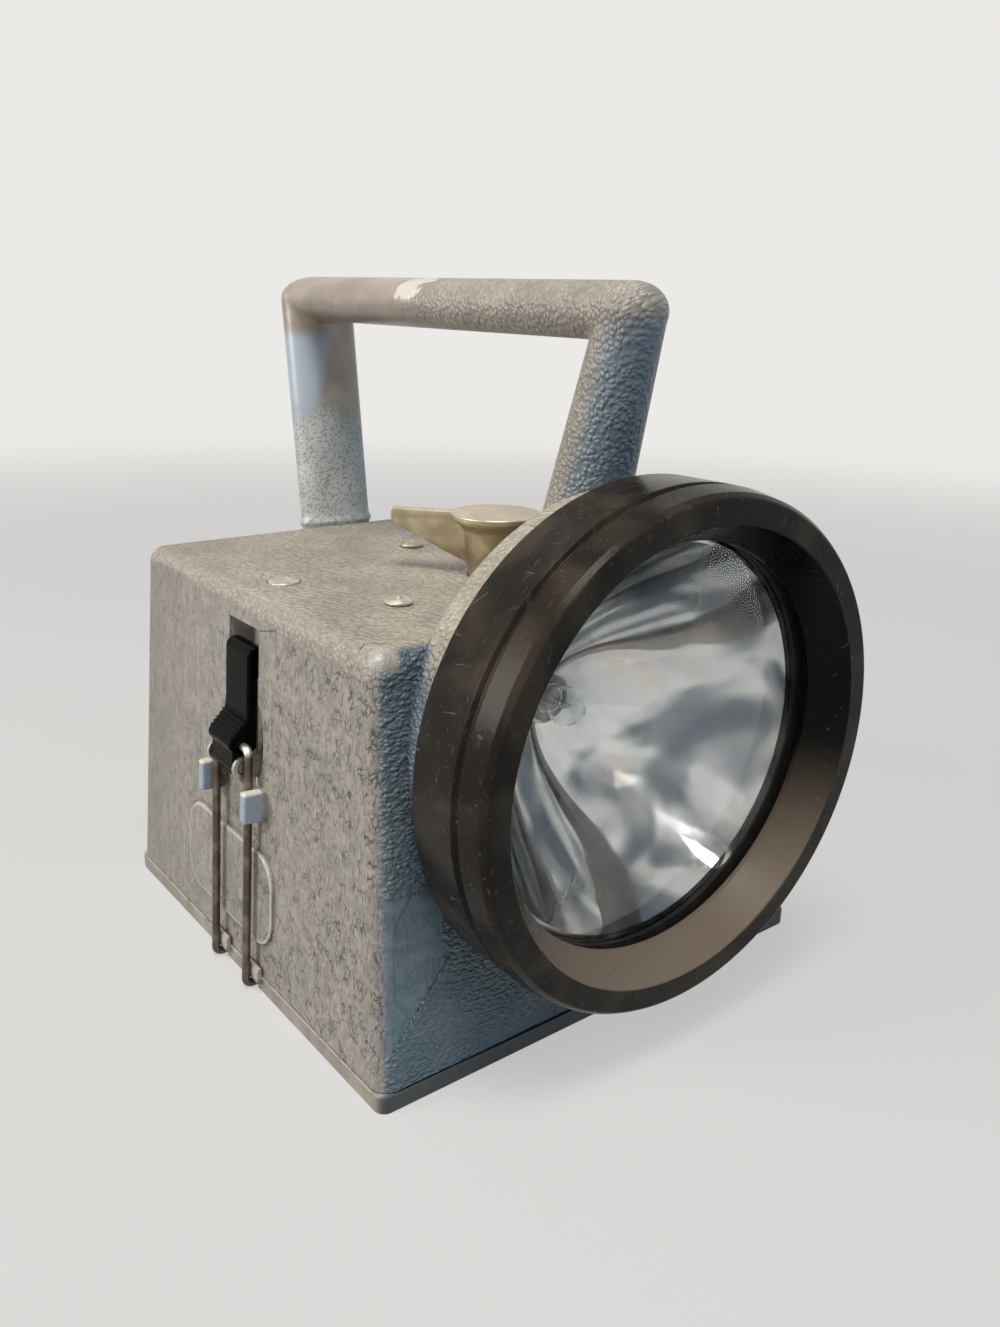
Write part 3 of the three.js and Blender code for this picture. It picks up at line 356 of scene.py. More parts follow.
def fibre_finish():
    recipe = Recipe("pressed_fibre")
    strands = recipe.noise(strand_size, 4, recipe.drawn_out((0.2, 1, 1)))
    color = recipe.mix(strands, shade(92, 50, 28), shade(150, 92, 56))
    return recipe.finish(color, 0.6 + strands * 0.15, recipe.relief(strands, strand_relief))


mottle_size = 0.003
mottle_relief = 0.00003


def jacket_finish():
    recipe = Recipe("cell_jacket")
    mottle = recipe.noise(mottle_size, 3)
    color = recipe.mix(mottle, shade(122, 114, 90), shade(160, 152, 126))
    return recipe.finish(color, 0.4 + mottle * 0.2, recipe.relief(mottle, mottle_relief), 0.2)


black_moulding = moulding_finish("black_moulding", shade(5, 4, 4), shade(14, 12, 10))
brass = plated_finish("worn_brass", shade(168, 148, 104), shade(110, 94, 62))
pressed_fibre = fibre_finish()
cell_jacket = jacket_finish()
dressed("cell_tray", black_moulding)
dressed("bulb_lead", black_moulding)
for node in ("terminal_board", "contact_plate", "tail_disc"):
    dressed(node, pressed_fibre)
for number in range(1, 5):
    dressed(f"dry_cell_{number}", cell_jacket)
    dressed(f"cell_spring_{number}", bright_steel)
for node in ("board_screw_1", "board_screw_2", "rivet_spacer_1", "rivet_spacer_2", "rivet_spacer_3"):
    dressed(node, bright_steel)
for node in ("key_cup", "contact_bridge", "stem_nut", "contact_strip_1", "contact_strip_2", "tail_spring"):
    dressed(node, brass)


# Reflector
# A deep spun dish of plated brass with a flat rim that the gasket presses on. Its plating is bright,
# with smudges and fine wiping scratches, and dark blue-grey and warm patches that are partly tarnish
# and partly painted reflection.
bezel_low, bezel_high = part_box("bezel_ring")
lamp_axis_height = (bezel_low.z + bezel_high.z) / 2
ring_segments = 192


def rounded(corners, steps=4):
    """A closed outline of corners (across, along, fillet), with an arc in place of each corner."""
    outline = []
    for before, corner, after in zip(corners[-1:] + corners[:-1], corners, corners[1:] + corners[:1]):
        here = Vector(corner[:2])
        if not corner[2]:
            outline.append((here.x, here.y))
            continue
        back = (Vector(before[:2]) - here).normalized()
        ahead = (Vector(after[:2]) - here).normalized()
        half = back.angle(ahead) / 2
        reach = corner[2] / math.tan(half)
        centre = here + (back + ahead).normalized() * corner[2] / math.sin(half)
        start = here + back * reach - centre
        end = here + ahead * reach - centre
        for step in range(steps + 1):
            spoke = start.lerp(end, step / steps).normalized() * corner[2]
            outline.append((centre.x + spoke.x, centre.y + spoke.y))
    return outline


def turned(profile, segments, stand):
    """A bmesh of a closed profile of (radius, along), turned about an axis by the matrix stand."""
    mesh = bmesh.new()
    rings = []
    for step in range(segments):
        angle = math.tau * step / segments
        rings.append([
            mesh.verts.new(stand @ Vector((radius * math.cos(angle), radius * math.sin(angle), along)))
            for radius, along in profile
        ])
    for near, far in zip(rings, rings[1:] + rings[:1]):
        for i in range(len(profile)):
            j = (i + 1) % len(profile)
            if profile[i][0] or profile[j][0]:
                mesh.faces.new((near[i], near[j], far[j], far[i]))
    bmesh.ops.remove_doubles(mesh, verts=mesh.verts, dist=merge_distance)
    bmesh.ops.recalc_face_normals(mesh, faces=mesh.faces)
    return mesh


# Along the lamp's axis a profile counts back from the front, so its place is a Y
lamp_stand = Matrix.Translation((0, 0, lamp_axis_height)) @ Matrix.Rotation(-math.pi / 2, 4, "X")


def about_lamp(name, profile, material, segments=ring_segments):
    """A piece turned about the lamp's axis."""
    return with_mesh(name, turned(profile, segments, lamp_stand), material)


smudge_size = 0.013
wipe_size = 0.0005
tarnish_and_reflection_size = 0.028
warm_reflection_size = 0.022
ripple_size = 0.02
wipe_relief = 0.0000015
ripple_relief = 0.00018


def reflector_finish():
    recipe = Recipe("plated_reflector")
    smudge = recipe.rise(recipe.noise(smudge_size, 4, None, 1.2), 0.5, 0.78)
    wipe_place = recipe.drawn_out((1, 1, 0.05), (0, 0.6, 0.4))
    wipes = recipe.rise(recipe.noise(wipe_size, 3, wipe_place), 0.66, 0.72)
    # Dark blue-grey and warm patches: partly tarnish, partly painted reflections.
    tarnish_and_painted_reflection = recipe.rise(recipe.noise(tarnish_and_reflection_size, 2, None, 0.8), 0.42, 0.62)
    warm_painted_reflection = recipe.rise(recipe.noise(warm_reflection_size, 2), 0.48, 0.66)
    silver = recipe.mix(warm_painted_reflection * 0.5, shade(212, 214, 214), shade(222, 205, 180))
    plated = recipe.mix(tarnish_and_painted_reflection, silver, shade(84, 98, 108))
    color = recipe.mix(smudge * 0.4, plated, shade(164, 160, 152))
    ripple = recipe.noise(ripple_size, 1)
    normal = recipe.relief(wipes, wipe_relief, recipe.relief(ripple, ripple_relief))
    return recipe.finish(color, 0.035 + smudge * 0.1 + wipes * 0.06, normal, 1.0)


reflector_low, reflector_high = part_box("reflector")
dish_mouth_radius = 0.0513
dish_hole_radius = 0.008
dish_depth = 0.044
dish_sheet = 0.0009
dish_rim_radius = (reflector_high.x - reflector_low.x) / 2
dish_rim_thickness = 0.0008
dish_rings = 40
dish_front = reflector_low.y


def dish_profile():
    """A paraboloid of thin sheet with a flat rim at its mouth."""
    inner = []
    for step in range(dish_rings + 1):
        radius = dish_hole_radius + (dish_mouth_radius - dish_hole_radius) * step / dish_rings
        inner.append((radius, dish_front + dish_depth * (1 - (radius / dish_mouth_radius) ** 2)))
    outer = [(radius + dish_sheet * 0.8, along + dish_sheet * 0.5) for radius, along in inner[:-1]]
    rim_back = dish_front + dish_rim_thickness
    rim = [
        (dish_rim_radius, dish_front), (dish_rim_radius, rim_back),
        (dish_mouth_radius + dish_sheet, rim_back),
    ]
    return inner + rim + outer[::-1]


reflector = about_lamp("spun_reflector", dish_profile(), reflector_finish())
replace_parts(smoothed(reflector), "reflector")
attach(reflector, "lamp_body")


# Bulb and holder
# A small clear bulb with a coiled filament on two posts, in a flanged brass cap that a plated
# holder takes behind the reflector.
haze_size = 0.016


def glass_finish(name, color, bend, body=1.0):
    """Clear glass: it lets light through and bends it, and dust makes it a little milky."""
    recipe = Recipe(name)
    recipe.shader.inputs["Alpha"].default_value = body
    haze = recipe.rise(recipe.noise(haze_size, 4), 0.45, 0.8)
    recipe.shader.inputs["Transmission Weight"].default_value = 1.0
    recipe.shader.inputs["IOR"].default_value = bend
    recipe.material.use_transparent_shadow = True
    return recipe.finish(color, haze * 0.02)


bulb_low, bulb_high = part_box("bulb_glass")
bulb_radius = (bulb_high.x - bulb_low.x) / 2
bulb_neck_radius = 0.0044
bulb_neck_length = 0.002
bulb_wall = 0.0005
bulb_bend = 1.45
bulb_segments = 48
filament_radius = 0.0005
filament_width = 0.003
filament_turns = 12.0
filament_wire = 0.00008
post_radius = 0.00025


def bulb_profile():
    """The thin wall of the envelope: an outer line from the neck to the tip, and an inner one back."""
    arc_steps = 14
    tip_centre = bulb_low.y + bulb_radius
    lines = []
    angles = [math.pi / 2 * step / arc_steps for step in range(arc_steps + 1)]
    for wall in (0, bulb_wall):
        radius = bulb_radius - wall
        arc = [(radius * math.cos(angle), tip_centre - radius * math.sin(angle)) for angle in angles]
        arc[-1] = (0, arc[-1][1])
        neck = [(bulb_neck_radius - wall, bulb_high.y - back) for back in (0, bulb_neck_length)]
        lines.append(neck + arc)
    return lines[0] + lines[1][::-1]


bulb_clear = glass_finish("bulb_glass_clear", shade(246, 250, 250), bulb_bend)
bulb = about_lamp("bulb_envelope", bulb_profile(), bulb_clear, bulb_segments)
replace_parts(smoothed(bulb), "bulb_glass")
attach(bulb, "lamp_body")


class Tree:
    """A Geometry Nodes tree that is being put together, with a named input for each size."""

    def __init__(self, name, sizes):
        self.group = bpy.data.node_groups.new(name, "GeometryNodeTree")
        self.group.interface.new_socket("Geometry", in_out="INPUT", socket_type="NodeSocketGeometry")
        self.group.interface.new_socket("Geometry", in_out="OUTPUT", socket_type="NodeSocketGeometry")
        for size in sizes:
            self.group.interface.new_socket(size, in_out="INPUT", socket_type="NodeSocketFloat")
        self.sizes = sizes
        self.start = self.group.nodes.new("NodeGroupInput")
        self.end = self.group.nodes.new("NodeGroupOutput")

    def node(self, kind, settings, values, output=0):
        made = self.group.nodes.new(kind)
        for key, setting in settings.items():
            setattr(made, key, setting)
        for key, value in values.items():
            if isinstance(value, bpy.types.NodeSocket):
                self.group.links.new(value, made.inputs[key])
            else:
                made.inputs[key].default_value = value
        return made.outputs[output]

    def wire(self, curve, radius, sides):
        """A round wire with closed ends along a curve."""
        section = self.node("GeometryNodeCurvePrimitiveCircle", {"mode": "RADIUS"}, {
            "Resolution": sides, "Radius": radius})
        return self.node("GeometryNodeCurveToMesh", {}, {
            "Curve": curve, "Profile Curve": section, "Fill Caps": True})

    def result(self, geometry, material, name):
        """The tree run once on an empty mesh, as a plain mesh piece."""
        real = self.node("GeometryNodeRealizeInstances", {}, {"Geometry": geometry})
        painted = self.node("GeometryNodeSetMaterial", {}, {"Geometry": real, "Material": material})
        self.group.links.new(painted, self.end.inputs["Geometry"])
        piece = bpy.data.objects.new(name, bpy.data.meshes.new(name))
        scene.collection.objects.link(piece)
        run = piece.modifiers.new("nodes", "NODES")
        run.node_group = self.group
        for item in self.group.interface.items_tree:
            if item.item_type == "SOCKET" and item.name in self.sizes:
                run[item.identifier] = self.sizes[item.name]
        return applied(piece)


def wire_coil(name, sizes, steps, place, turn):
    """A steel wire wound into a coil of turns, radius and length about its own axis."""
    tree = Tree(name, sizes)
    inputs = tree.start.outputs
    coil = tree.node("GeometryNodeCurveSpiral", {}, {
        "Resolution": steps, "Rotations": inputs["turns"], "Start Radius": inputs["radius"],
        "End Radius": inputs["radius"], "Height": inputs["length"],
    })
    tube = tree.wire(coil, inputs["wire"], 8)
    placed = tree.node("GeometryNodeTransform", {}, {
        "Geometry": tube, "Translation": place, "Rotation": turn})
    return tree.result(placed, bright_steel, name)


filament_sizes = {
    "turns": filament_turns, "radius": filament_radius, "length": filament_width, "wire": filament_wire,
}
filament_end = (-filament_width / 2, bulb_low.y + bulb_radius, lamp_axis_height)
filament = wire_coil("filament", filament_sizes, 12, filament_end, (0, math.pi / 2, 0))
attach(filament, "lamp_body")


def bulb_posts():
    """Two straight wires from the cap to the ends of the filament."""
    mesh = bmesh.new()
    for side in (-1, 1):
        reach = bulb_high.y - bulb_low.y - bulb_radius
        middle = Matrix.Translation((side * filament_width / 2, bulb_high.y - reach / 2, lamp_axis_height))
        bmesh.ops.create_cone(
            mesh, cap_ends=True, segments=10, radius1=post_radius, radius2=post_radius, depth=reach,
            matrix=middle @ Matrix.Rotation(math.pi / 2, 4, "X"))
    return with_mesh("filament_posts", mesh, bright_steel)


posts = smoothed(bulb_posts())
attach(posts, "lamp_body")

cap_metal = plated_finish("tarnished_cap", shade(122, 122, 118), shade(66, 70, 74))
bulb_cap = copied("flanged_cap", "bulb_cap", cap_metal, 0.0002)
bulb_holder = copied("lamp_holder", "bulb_holder", bright_steel, 0.0002)
for piece, slot in ((bulb_cap, "brass"), (bulb_holder, "bright_steel")):
    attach(piece, "lamp_body")


# Front glass and bezel
# A flat clear glass lies on its gasket, and a black moulded ring screws over the casting's neck
# to hold both. The ring is satin black, scuffed, with its edges rubbed thin and bright.
ring_front = bezel_low.y
ring_back = bezel_high.y
ring_band_radius = (bezel_high.x - bezel_low.x) / 2
ring_lip_radius = ring_band_radius - 0.0012
ring_lip_slope = 0.0010
ring_lip_swell = 0.0002
ring_lip_length = 0.0016
ring_back_radius = ring_band_radius - 0.0001
ring_mouth_radius = 0.0579
ring_seat_radius = 0.0526
ring_bore_radius = 0.0588
ring_seat = ring_front + 0.0098
ring_seat_back = ring_seat + 0.0012
ring_groove = ring_front + 0.0088
ring_groove_half = 0.0007
ring_groove_depth = 0.0012
ring_chamfer = 0.0008
mouth_edge = (ring_mouth_radius + 0.0001, ring_mouth_radius + 0.0005)
mouth_light_drop = (0.004, 0.046)
bezel_cloud_size = 0.02
bezel_wear_size = 0.0012
long_mark_size = 0.0009
cross_mark_size = 0.0010
bezel_grain_size = 0.0014
mark_relief = 0.00003
bezel_grain_relief = 0.00004


def bezel_finish():
    recipe = Recipe("bezel_black")
    cloud = recipe.noise(bezel_cloud_size, 4, None, 0.6)
    brown = recipe.rise(cloud, 0.35, 0.75)
    wear = recipe.rise(recipe.noise(bezel_wear_size, 4, recipe.drawn_out((0.5, 1, 0.5))), 0.6, 0.72)
    along_place = recipe.drawn_out((1, 0.05, 0.3), (0.4, 0.2, 0))
    across_place = recipe.drawn_out((0.06, 1, 1), (0, 0.9, 0.5))
    marks = recipe.rise(recipe.noise(long_mark_size, 2, along_place), 0.7, 0.73)
    marks = marks + recipe.rise(recipe.noise(cross_mark_size, 2, across_place), 0.71, 0.74)
    color = recipe.mix(brown, shade(30, 26, 22), shade(64, 56, 47))
    worn = recipe.mix(wear * 0.25, color, shade(92, 82, 70))
    x, height = recipe.axes()[::2]
    drop = lamp_axis_height - height
    # Inside the mouth the wall is painted near black as shade, and its lower part brown-grey as painted light
    # falling from above.
    in_mouth = recipe.fall(recipe.reach(x, drop), *mouth_edge)
    lower_mouth_light = recipe.rise(drop, *mouth_light_drop)
    mouth_shade_and_light = recipe.mix(lower_mouth_light, shade(6, 6, 7), shade(124, 110, 95))
    lined = recipe.mix(in_mouth, worn, mouth_shade_and_light)
    scratched = recipe.mix(marks * 0.22, lined, shade(140, 130, 116))
    grain = recipe.relief(recipe.noise(bezel_grain_size, 3), bezel_grain_relief)
    normal = recipe.relief(marks, mark_relief, grain)
    return recipe.finish(scratched, 0.22 + brown * 0.12 + wear * 0.1, normal, gloss=0.1)


bezel_corners = [
    (ring_mouth_radius, ring_front, 0.0006),
    (ring_lip_radius - ring_lip_slope, ring_front, 0.0010),
    (ring_lip_radius + ring_lip_swell, ring_front + ring_lip_length, 0.0012),
    (ring_band_radius, ring_groove - ring_groove_half * 2, 0.0004),
    (ring_band_radius - ring_groove_depth, ring_groove - ring_groove_half, 0.0003),
    (ring_band_radius - ring_groove_depth, ring_groove + ring_groove_half, 0.0003),
    (ring_band_radius, ring_groove + ring_groove_half * 2, 0.0004),
    (ring_back_radius, ring_back - ring_chamfer, 0.0006),
    (ring_back_radius - ring_chamfer, ring_back, 0.0006),
    (ring_bore_radius, ring_back, 0.0005),
    (ring_bore_radius, ring_seat_back, 0.0),
    (ring_seat_radius, ring_seat_back, 0.0),
    (ring_seat_radius, ring_seat, 0.0004),
]
bezel = about_lamp("screwed_bezel", rounded(bezel_corners), bezel_finish())
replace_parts(smoothed(bezel), "bezel_ring")
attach(bezel, "bezel")

glass_low, glass_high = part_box("front_glass")
glass_radius = (glass_high.x - glass_low.x) / 2
glass_edge = 0.0004
pane_bend = 1.3
pane_body = 0.12
glass_corners = [
    (0, glass_low.y, 0), (glass_radius, glass_low.y, glass_edge),
    (glass_radius, glass_high.y, glass_edge), (0, glass_high.y, 0),
]
pane_clear = glass_finish("front_glass_clear", shade(250, 252, 252), pane_bend, pane_body)
glass = about_lamp("lamp_glass", rounded(glass_corners), pane_clear)
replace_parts(smoothed(glass), "front_glass")
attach(glass, "glass_carrier")


# Box casting
# One die casting: a drafted box open underneath, the threaded neck for the bezel, the hood over the
# reflector, a recess for the latch, two lugs that guide the bail, and a plain raised plaque.
plate_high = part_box("base_plate")[1]
box_half_x = plate_high.x
box_half_y = plate_high.y
box_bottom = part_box("casing")[0].z
box_top = 0.1112
box_wall = 0.0035
side_draft_share = 0.062
front_draft_share = 0.115
rear_draft_share = 0.07
side_lean = math.atan(side_draft_share)
box_corner = 0.005
box_edge = 0.0045
inner_corner = 0.0025
inner_edge = 0.002
corner_steps = 8
rod_segments = 48
overrun = 0.002


def ring_outline(half_x, half_y, radius):
    """A rounded rectangle, anticlockwise."""
    points = []
    for quarter, (side_x, side_y) in enumerate(((1, -1), (1, 1), (-1, 1), (-1, -1))):
        for step in range(corner_steps + 1):
            angle = math.pi / 2 * (quarter - 1 + step / corner_steps)
            points.append((
                side_x * (half_x - radius) + radius * math.cos(angle),
                side_y * (half_y - radius) + radius * math.sin(angle),
            ))
    return points


def shell(rings):
    """A closed bmesh through rings of points, all of one count."""
    mesh = bmesh.new()
    rows = [[mesh.verts.new(point) for point in ring] for ring in rings]
    for low, high in zip(rows, rows[1:]):
        for i in range(len(low)):
            j = (i + 1) % len(low)
            mesh.faces.new((low[i], low[j], high[j], high[i]))
    mesh.faces.new(rows[0][::-1])
    mesh.faces.new(rows[-1])
    bmesh.ops.recalc_face_normals(mesh, faces=mesh.faces)
    return mesh


def edged(mesh, edges, width, steps=3):
    """The bmesh with some of its edges rounded."""
    bmesh.ops.bevel(mesh, geom=edges, offset=width, segments=steps, affect="EDGES", profile=0.5)
    return mesh


def drafted_box(inset, low, high, corner, edge):
    """A box with round corners and a round top edge, whose walls lean in with height."""
    levels = [(low, 0.0)]
    for step in range(corner_steps + 1):
        angle = math.pi / 2 * step / corner_steps
        levels.append((high - edge + edge * math.sin(angle), edge * (1 - math.cos(angle))))
    rings = []
    for height, tuck in levels:
        half_x = box_half_x - inset - tuck
        half_y = box_half_y - inset - tuck
        ring = []
        for x, y in ring_outline(half_x, half_y, max(corner - tuck, edge / corner_steps)):
            end_draft_share = front_draft_share if y < 0 else rear_draft_share
            ring.append((
                x * (1 - side_draft_share * height / (box_half_x - inset)),
                y * (1 - end_draft_share * height / (box_half_y - inset)),
                height,
            ))
        rings.append(ring)
    return with_mesh("box", shell(rings), box_finish)


def block(low, high, edge=0.0):
    """A block between two corners with rounded edges."""
    mesh = bmesh.new()
    middle = [(a + b) / 2 for a, b in zip(low, high)]
    size = [b - a for a, b in zip(low, high)]
    bmesh.ops.create_cube(mesh, size=1, matrix=Matrix.Translation(middle) @ Matrix.Diagonal((*size, 1)))
    if edge:
        edged(mesh, mesh.edges[:], edge)
    return with_mesh("block", mesh, box_finish)


def combined(piece, operation, tools):
    """The piece with other solids joined to it or cut out of it, which are used up."""
    for tool in tools:
        step = piece.modifiers.new("step", "BOOLEAN")
        step.operation = operation
        step.solver = "MANIFOLD"
        step.object = tool
    applied(piece)
    for tool in tools:
        bpy.data.objects.remove(tool)
    return piece


wall_stand = Matrix.Translation((-box_half_x, 0, 0)) @ Matrix.Rotation(side_lean, 4, "Y")


def on_left_wall(piece):
    """A piece drawn against the left wall, with X into the wall, Z up its face and Y along it."""
    piece.data.transform(wall_stand)
    return piece


def scratch(recipe, across, up, start, end, half_width):
    """1 along a straight thin line between two points of a plane, and 0 away from it."""
    run, lift = end[0] - start[0], end[1] - start[1]
    length_squared = run * run + lift * lift
    share = (across - start[0]) * (run / length_squared) + (up - start[1]) * (lift / length_squared)
    share = recipe.node("ShaderNodeClamp", {}, [share, 0.0, 1.0])
    off_across = across - start[0] - share * run
    off_up = up - start[1] - share * lift
    return recipe.fall(recipe.reach(off_across, off_up), half_width * 0.5, half_width)


# The casting's skins change at these distances from its faces, edges and corners
ragged_size = 0.0025
front_ragged_reach = 0.0016
facet_ragged_reach = 0.001
top_ragged_reach = 0.003
front_edge = (0.0030, 0.0046)
corner_edge = (0.0012, 0.0030)
corner_shade_share = 0.15
facet_near = 0.0545
facet_far = 0.0707
facet_high = 0.0530
facet_low = 0.0150
facet_slope = 1.06
facet_blur = 0.0004
flat_top_edge = (box_top - 0.0009, box_top - 0.0001)
top_wrap = 0.0042
top_wrap_growth = 0.0034
top_wrap_ends = (-0.05, 0.045)
top_wrap_blur = 0.0012
corner_glint = (0.0645, 0.0625)
glint_reach_squares = (0.000003, 0.00002)
glint_heights = (box_top - 0.006, box_top - 0.003)
flange_edge = (-0.0025, -0.0015)
flange_pale_heights = (0.098, box_top)


def casting_masks(recipe, x, y, z):
    """Where each skin of the casting lies: front wall, its facets, flat top, edges, a painted highlight at
    the front corner, and flange.
    """
    half = abs(x)
    ragged = recipe.noise(ragged_size, 3) - 0.5
    front_gap = y + box_half_y - front_draft_share * z
    side_gap = box_half_x - side_draft_share * z - half
    front = recipe.fall(front_gap + ragged * front_ragged_reach, *front_edge)
    front = front * recipe.rise(side_gap, *corner_edge)
    # A little of the front's painted shade spreads round the front-left corner.
    corner = recipe.fall(side_gap, *corner_edge) * recipe.fall(front_gap, *corner_edge)
    facet_line = facet_low + (facet_far - half) * facet_slope
    shaken = ragged * facet_ragged_reach
    facet = recipe.rise(half + shaken, facet_near, facet_near + facet_blur)
    facet = facet * recipe.fall(z + shaken, facet_high, facet_high + facet_blur)
    facet = facet * recipe.rise(z - facet_line, 0.0, facet_blur)
    flat_top = recipe.rise(z, *flat_top_edge)
    wrap = top_wrap + recipe.fall(y, *top_wrap_ends) * top_wrap_growth
    top = recipe.rise(z + ragged * top_ragged_reach + wrap, box_top, box_top + top_wrap_blur)
    # A painted highlight, pale and smooth, on the top's front-left corner.
    corner_x, corner_y = x + corner_glint[0], y + corner_glint[1]
    painted_glint = recipe.fall(corner_x * corner_x + corner_y * corner_y, *glint_reach_squares)
    return {
        "front": (front + corner * corner_shade_share) * (1 - flat_top),
        "facet": facet,
        "flat top": flat_top,
        "edge": top * (1 - flat_top),
        "painted_glint": painted_glint * recipe.rise(z, *glint_heights),
        "flange": recipe.fall(front_gap, *flange_edge) * recipe.rise(z, *flange_pale_heights),
    }


patch_size = 0.012
cloud_size = 0.0025
crowd_size = 0.02
crowd_slope = 4.0
fine_fleck_size = 0.0006
long_fleck_size = 0.0010
pale_fleck_size = 0.0008
streak_size = 0.0022
big_patch_size = 0.006
web_size = 0.0016
web_break_size = 0.0035
rear_shade_ends = (0.01, 0.07)


def side_skin(recipe, y, patches, clouds):
    """The sides' flat metal, flecked, streaked and webbed with dark lines, and with painted shade darker to
    the rear.
    """
    crowd = recipe.rise(recipe.noise(crowd_size, 2) - y * crowd_slope, 0.2, 0.85)
    fleck_place = recipe.warped(recipe.drawn_out((1, 1, 0.3), (0.16, 0, 0)), 0.004, 0.0008)
    fine_flecks = recipe.rise(recipe.noise(fine_fleck_size, 3, fleck_place), 0.57, 0.64)
    long_place = recipe.warped(recipe.drawn_out((1, 1, 0.22), (-0.12, 0, 0)), 0.005, 0.0012)
    long_flecks = recipe.rise(recipe.noise(long_fleck_size, 4, long_place), 0.58, 0.66)
    dark_flecks = recipe.larger(fine_flecks, long_flecks * crowd)
    pale_place = recipe.drawn_out((1, 1, 0.16), (0.1, 0, 1.3))
    pale_flecks = recipe.rise(recipe.noise(pale_fleck_size, 3, pale_place), 0.58, 0.7)
    streaks = recipe.rise(recipe.noise(streak_size, 3, recipe.drawn_out((1, 1, 0.1))), 0.5, 0.72)
    big_patches = recipe.rise(recipe.noise(big_patch_size, 4, None, 0.5), 0.48, 0.6)
    dull = recipe.rise(patches, 0.45, 0.62) * 0.3 + big_patches * 0.2
    web_place = recipe.warped(recipe.drawn_out((1, 1, 0.7)), 0.0022, 0.0018)
    web_gap = recipe.node("ShaderNodeTexVoronoi", {"feature": "DISTANCE_TO_EDGE"}, {
        "Vector": web_place, "Scale": 1 / web_size})
    broken = recipe.rise(recipe.noise(web_break_size, 4), 0.45, 0.62) * (0.35 + crowd * 0.65)
    web = recipe.fall(web_gap, 0.03, 0.13) * broken

    color = recipe.mix(recipe.rise(clouds, 0.35, 0.65), shade(144, 138, 129), shade(160, 154, 145))
    color = recipe.mix(dull, color, shade(128, 126, 119))
    color = recipe.mix(pale_flecks * 0.4 + streaks * (1 - crowd) * 0.35, color, shade(188, 183, 174))
    color = recipe.mix(dark_flecks * (0.2 + crowd * 0.3), color, shade(84, 79, 72))
    color = recipe.mix(web * 0.85, color, shade(60, 55, 49))
    # Painted shade: darker towards the rear.
    color = recipe.mix(recipe.rise(y, *rear_shade_ends) * 0.42, color, shade(108, 104, 97))
    return color, dark_flecks, web


recess_half_width = 0.0088
recess_side_blur = (0.0001, 0.0004)
recess_back = (-0.06, -0.059)
face_skin = (0.0004, 0.0008)
plaque_half_width = 0.027
plaque_height = 0.0275
plaque_bottom = 0.0145
plaque_offset = 0.0072
plaque_corner = 0.009
plaque_rim_wear_highlight_line = 0.0005
plaque_rim_wear_highlight_widths = (0.0002, 0.0006)
plaque_shade_start = (-0.0001, 0.0002)
plaque_shade_end = (0.0003, 0.0018)
left_face = (0.05, 0.06)
lug_proud = (-0.0016, -0.0012)
lug_color_start = (0.0518, 0.0522)
lug_lit_top_edge = (0.0603, 0.0607)


def left_wall_wear_and_light(recipe, x, y, z, color):
    """The plaque's rim, rubbed pale and partly a painted highlight, with painted shade round its foot; the
    lugs, painted with a lit pale top and bluish faces; and the recess, painted lighter.
    """
    half_up = plaque_height / 2
    across = recipe.larger(abs(y - plaque_offset) - (plaque_half_width - plaque_corner), 0)
    up = recipe.larger(abs(z - plaque_bottom - half_up) - (half_up - plaque_corner), 0)
    gap = recipe.reach(across, up) - plaque_corner
    on_left = recipe.rise(-x, *left_face)
    # Painted shade round the plaque's foot, and a pale rim that is wear and partly a painted highlight.
    plaque_foot_shade = recipe.rise(gap, *plaque_shade_start) * recipe.fall(gap, *plaque_shade_end) * on_left
    rim = recipe.fall(abs(gap + plaque_rim_wear_highlight_line), *plaque_rim_wear_highlight_widths) * on_left
    wall_gap = x + box_half_x - side_draft_share * z
    # The lugs are painted with light: a pale lit top and bluish faces.
    on_lug = recipe.fall(wall_gap, *lug_proud) * recipe.rise(z, *lug_color_start)
    lug_painted_light = recipe.mix(recipe.rise(z, *lug_lit_top_edge), shade(152, 166, 180), shade(212, 207, 197))
    # The recess is painted lighter, standing in for light that reaches into it.
    behind_face = recipe.rise(wall_gap, *face_skin) * recipe.fall(x, *recess_back)
    sides = [recess_half_width + blur for blur in recess_side_blur]
    recess_painted_light = behind_face * recipe.fall(abs(y), *sides)

    color = recipe.mix(plaque_foot_shade * 0.45, color, shade(78, 73, 66))
    color = recipe.mix(rim * 0.6, color, shade(206, 201, 192))
    color = recipe.mix(on_lug, color, lug_painted_light)
    return recipe.mix(recess_painted_light, color, shade(190, 186, 178))


corner_cracks = [((-0.0518, 0.1086), (-0.0531, 0.1078))]
side_cracks = [((-0.0074, 0.1028), (-0.0178, 0.1054)), ((-0.0178, 0.1054), (-0.0182, 0.0995))]
top_cracks = [((-0.0688, -0.0566), (-0.0650, -0.0546)), ((-0.0650, -0.0546), (-0.0614, -0.0572))]
corner_crack_width = 0.0002
side_crack_width = 0.00022
top_crack_width = 0.00028
top_crack_heights = (box_top - 0.0014, box_top - 0.0007)
crack_side = (0.02, 0.03)


def hair_cracks(recipe, x, y, z):
    """Fine cracks of the casting near the recess and at the top's front corner."""
    crack = 0
    for lines, width in ((corner_cracks, corner_crack_width), (side_cracks, side_crack_width)):
        for start, end in lines:
            crack = crack + scratch(recipe, y, z, start, end, width)
    for start, end in top_cracks:
        on_top = recipe.rise(z, *top_crack_heights)
        crack = crack + scratch(recipe, x, y, start, end, top_crack_width) * on_top
    return recipe.node("ShaderNodeClamp", {}, [crack * recipe.rise(-x, *crack_side), 0.0, 1.0])


crease_size = 0.0012
wrinkle_size = 0.00125
edge_skin_size = 0.0008
far_top_shade_ends = (0.0, 0.07)
far_top_shade_side = (0.0, 0.06)
skin_relief = 0.00026
fleck_relief = 0.00008


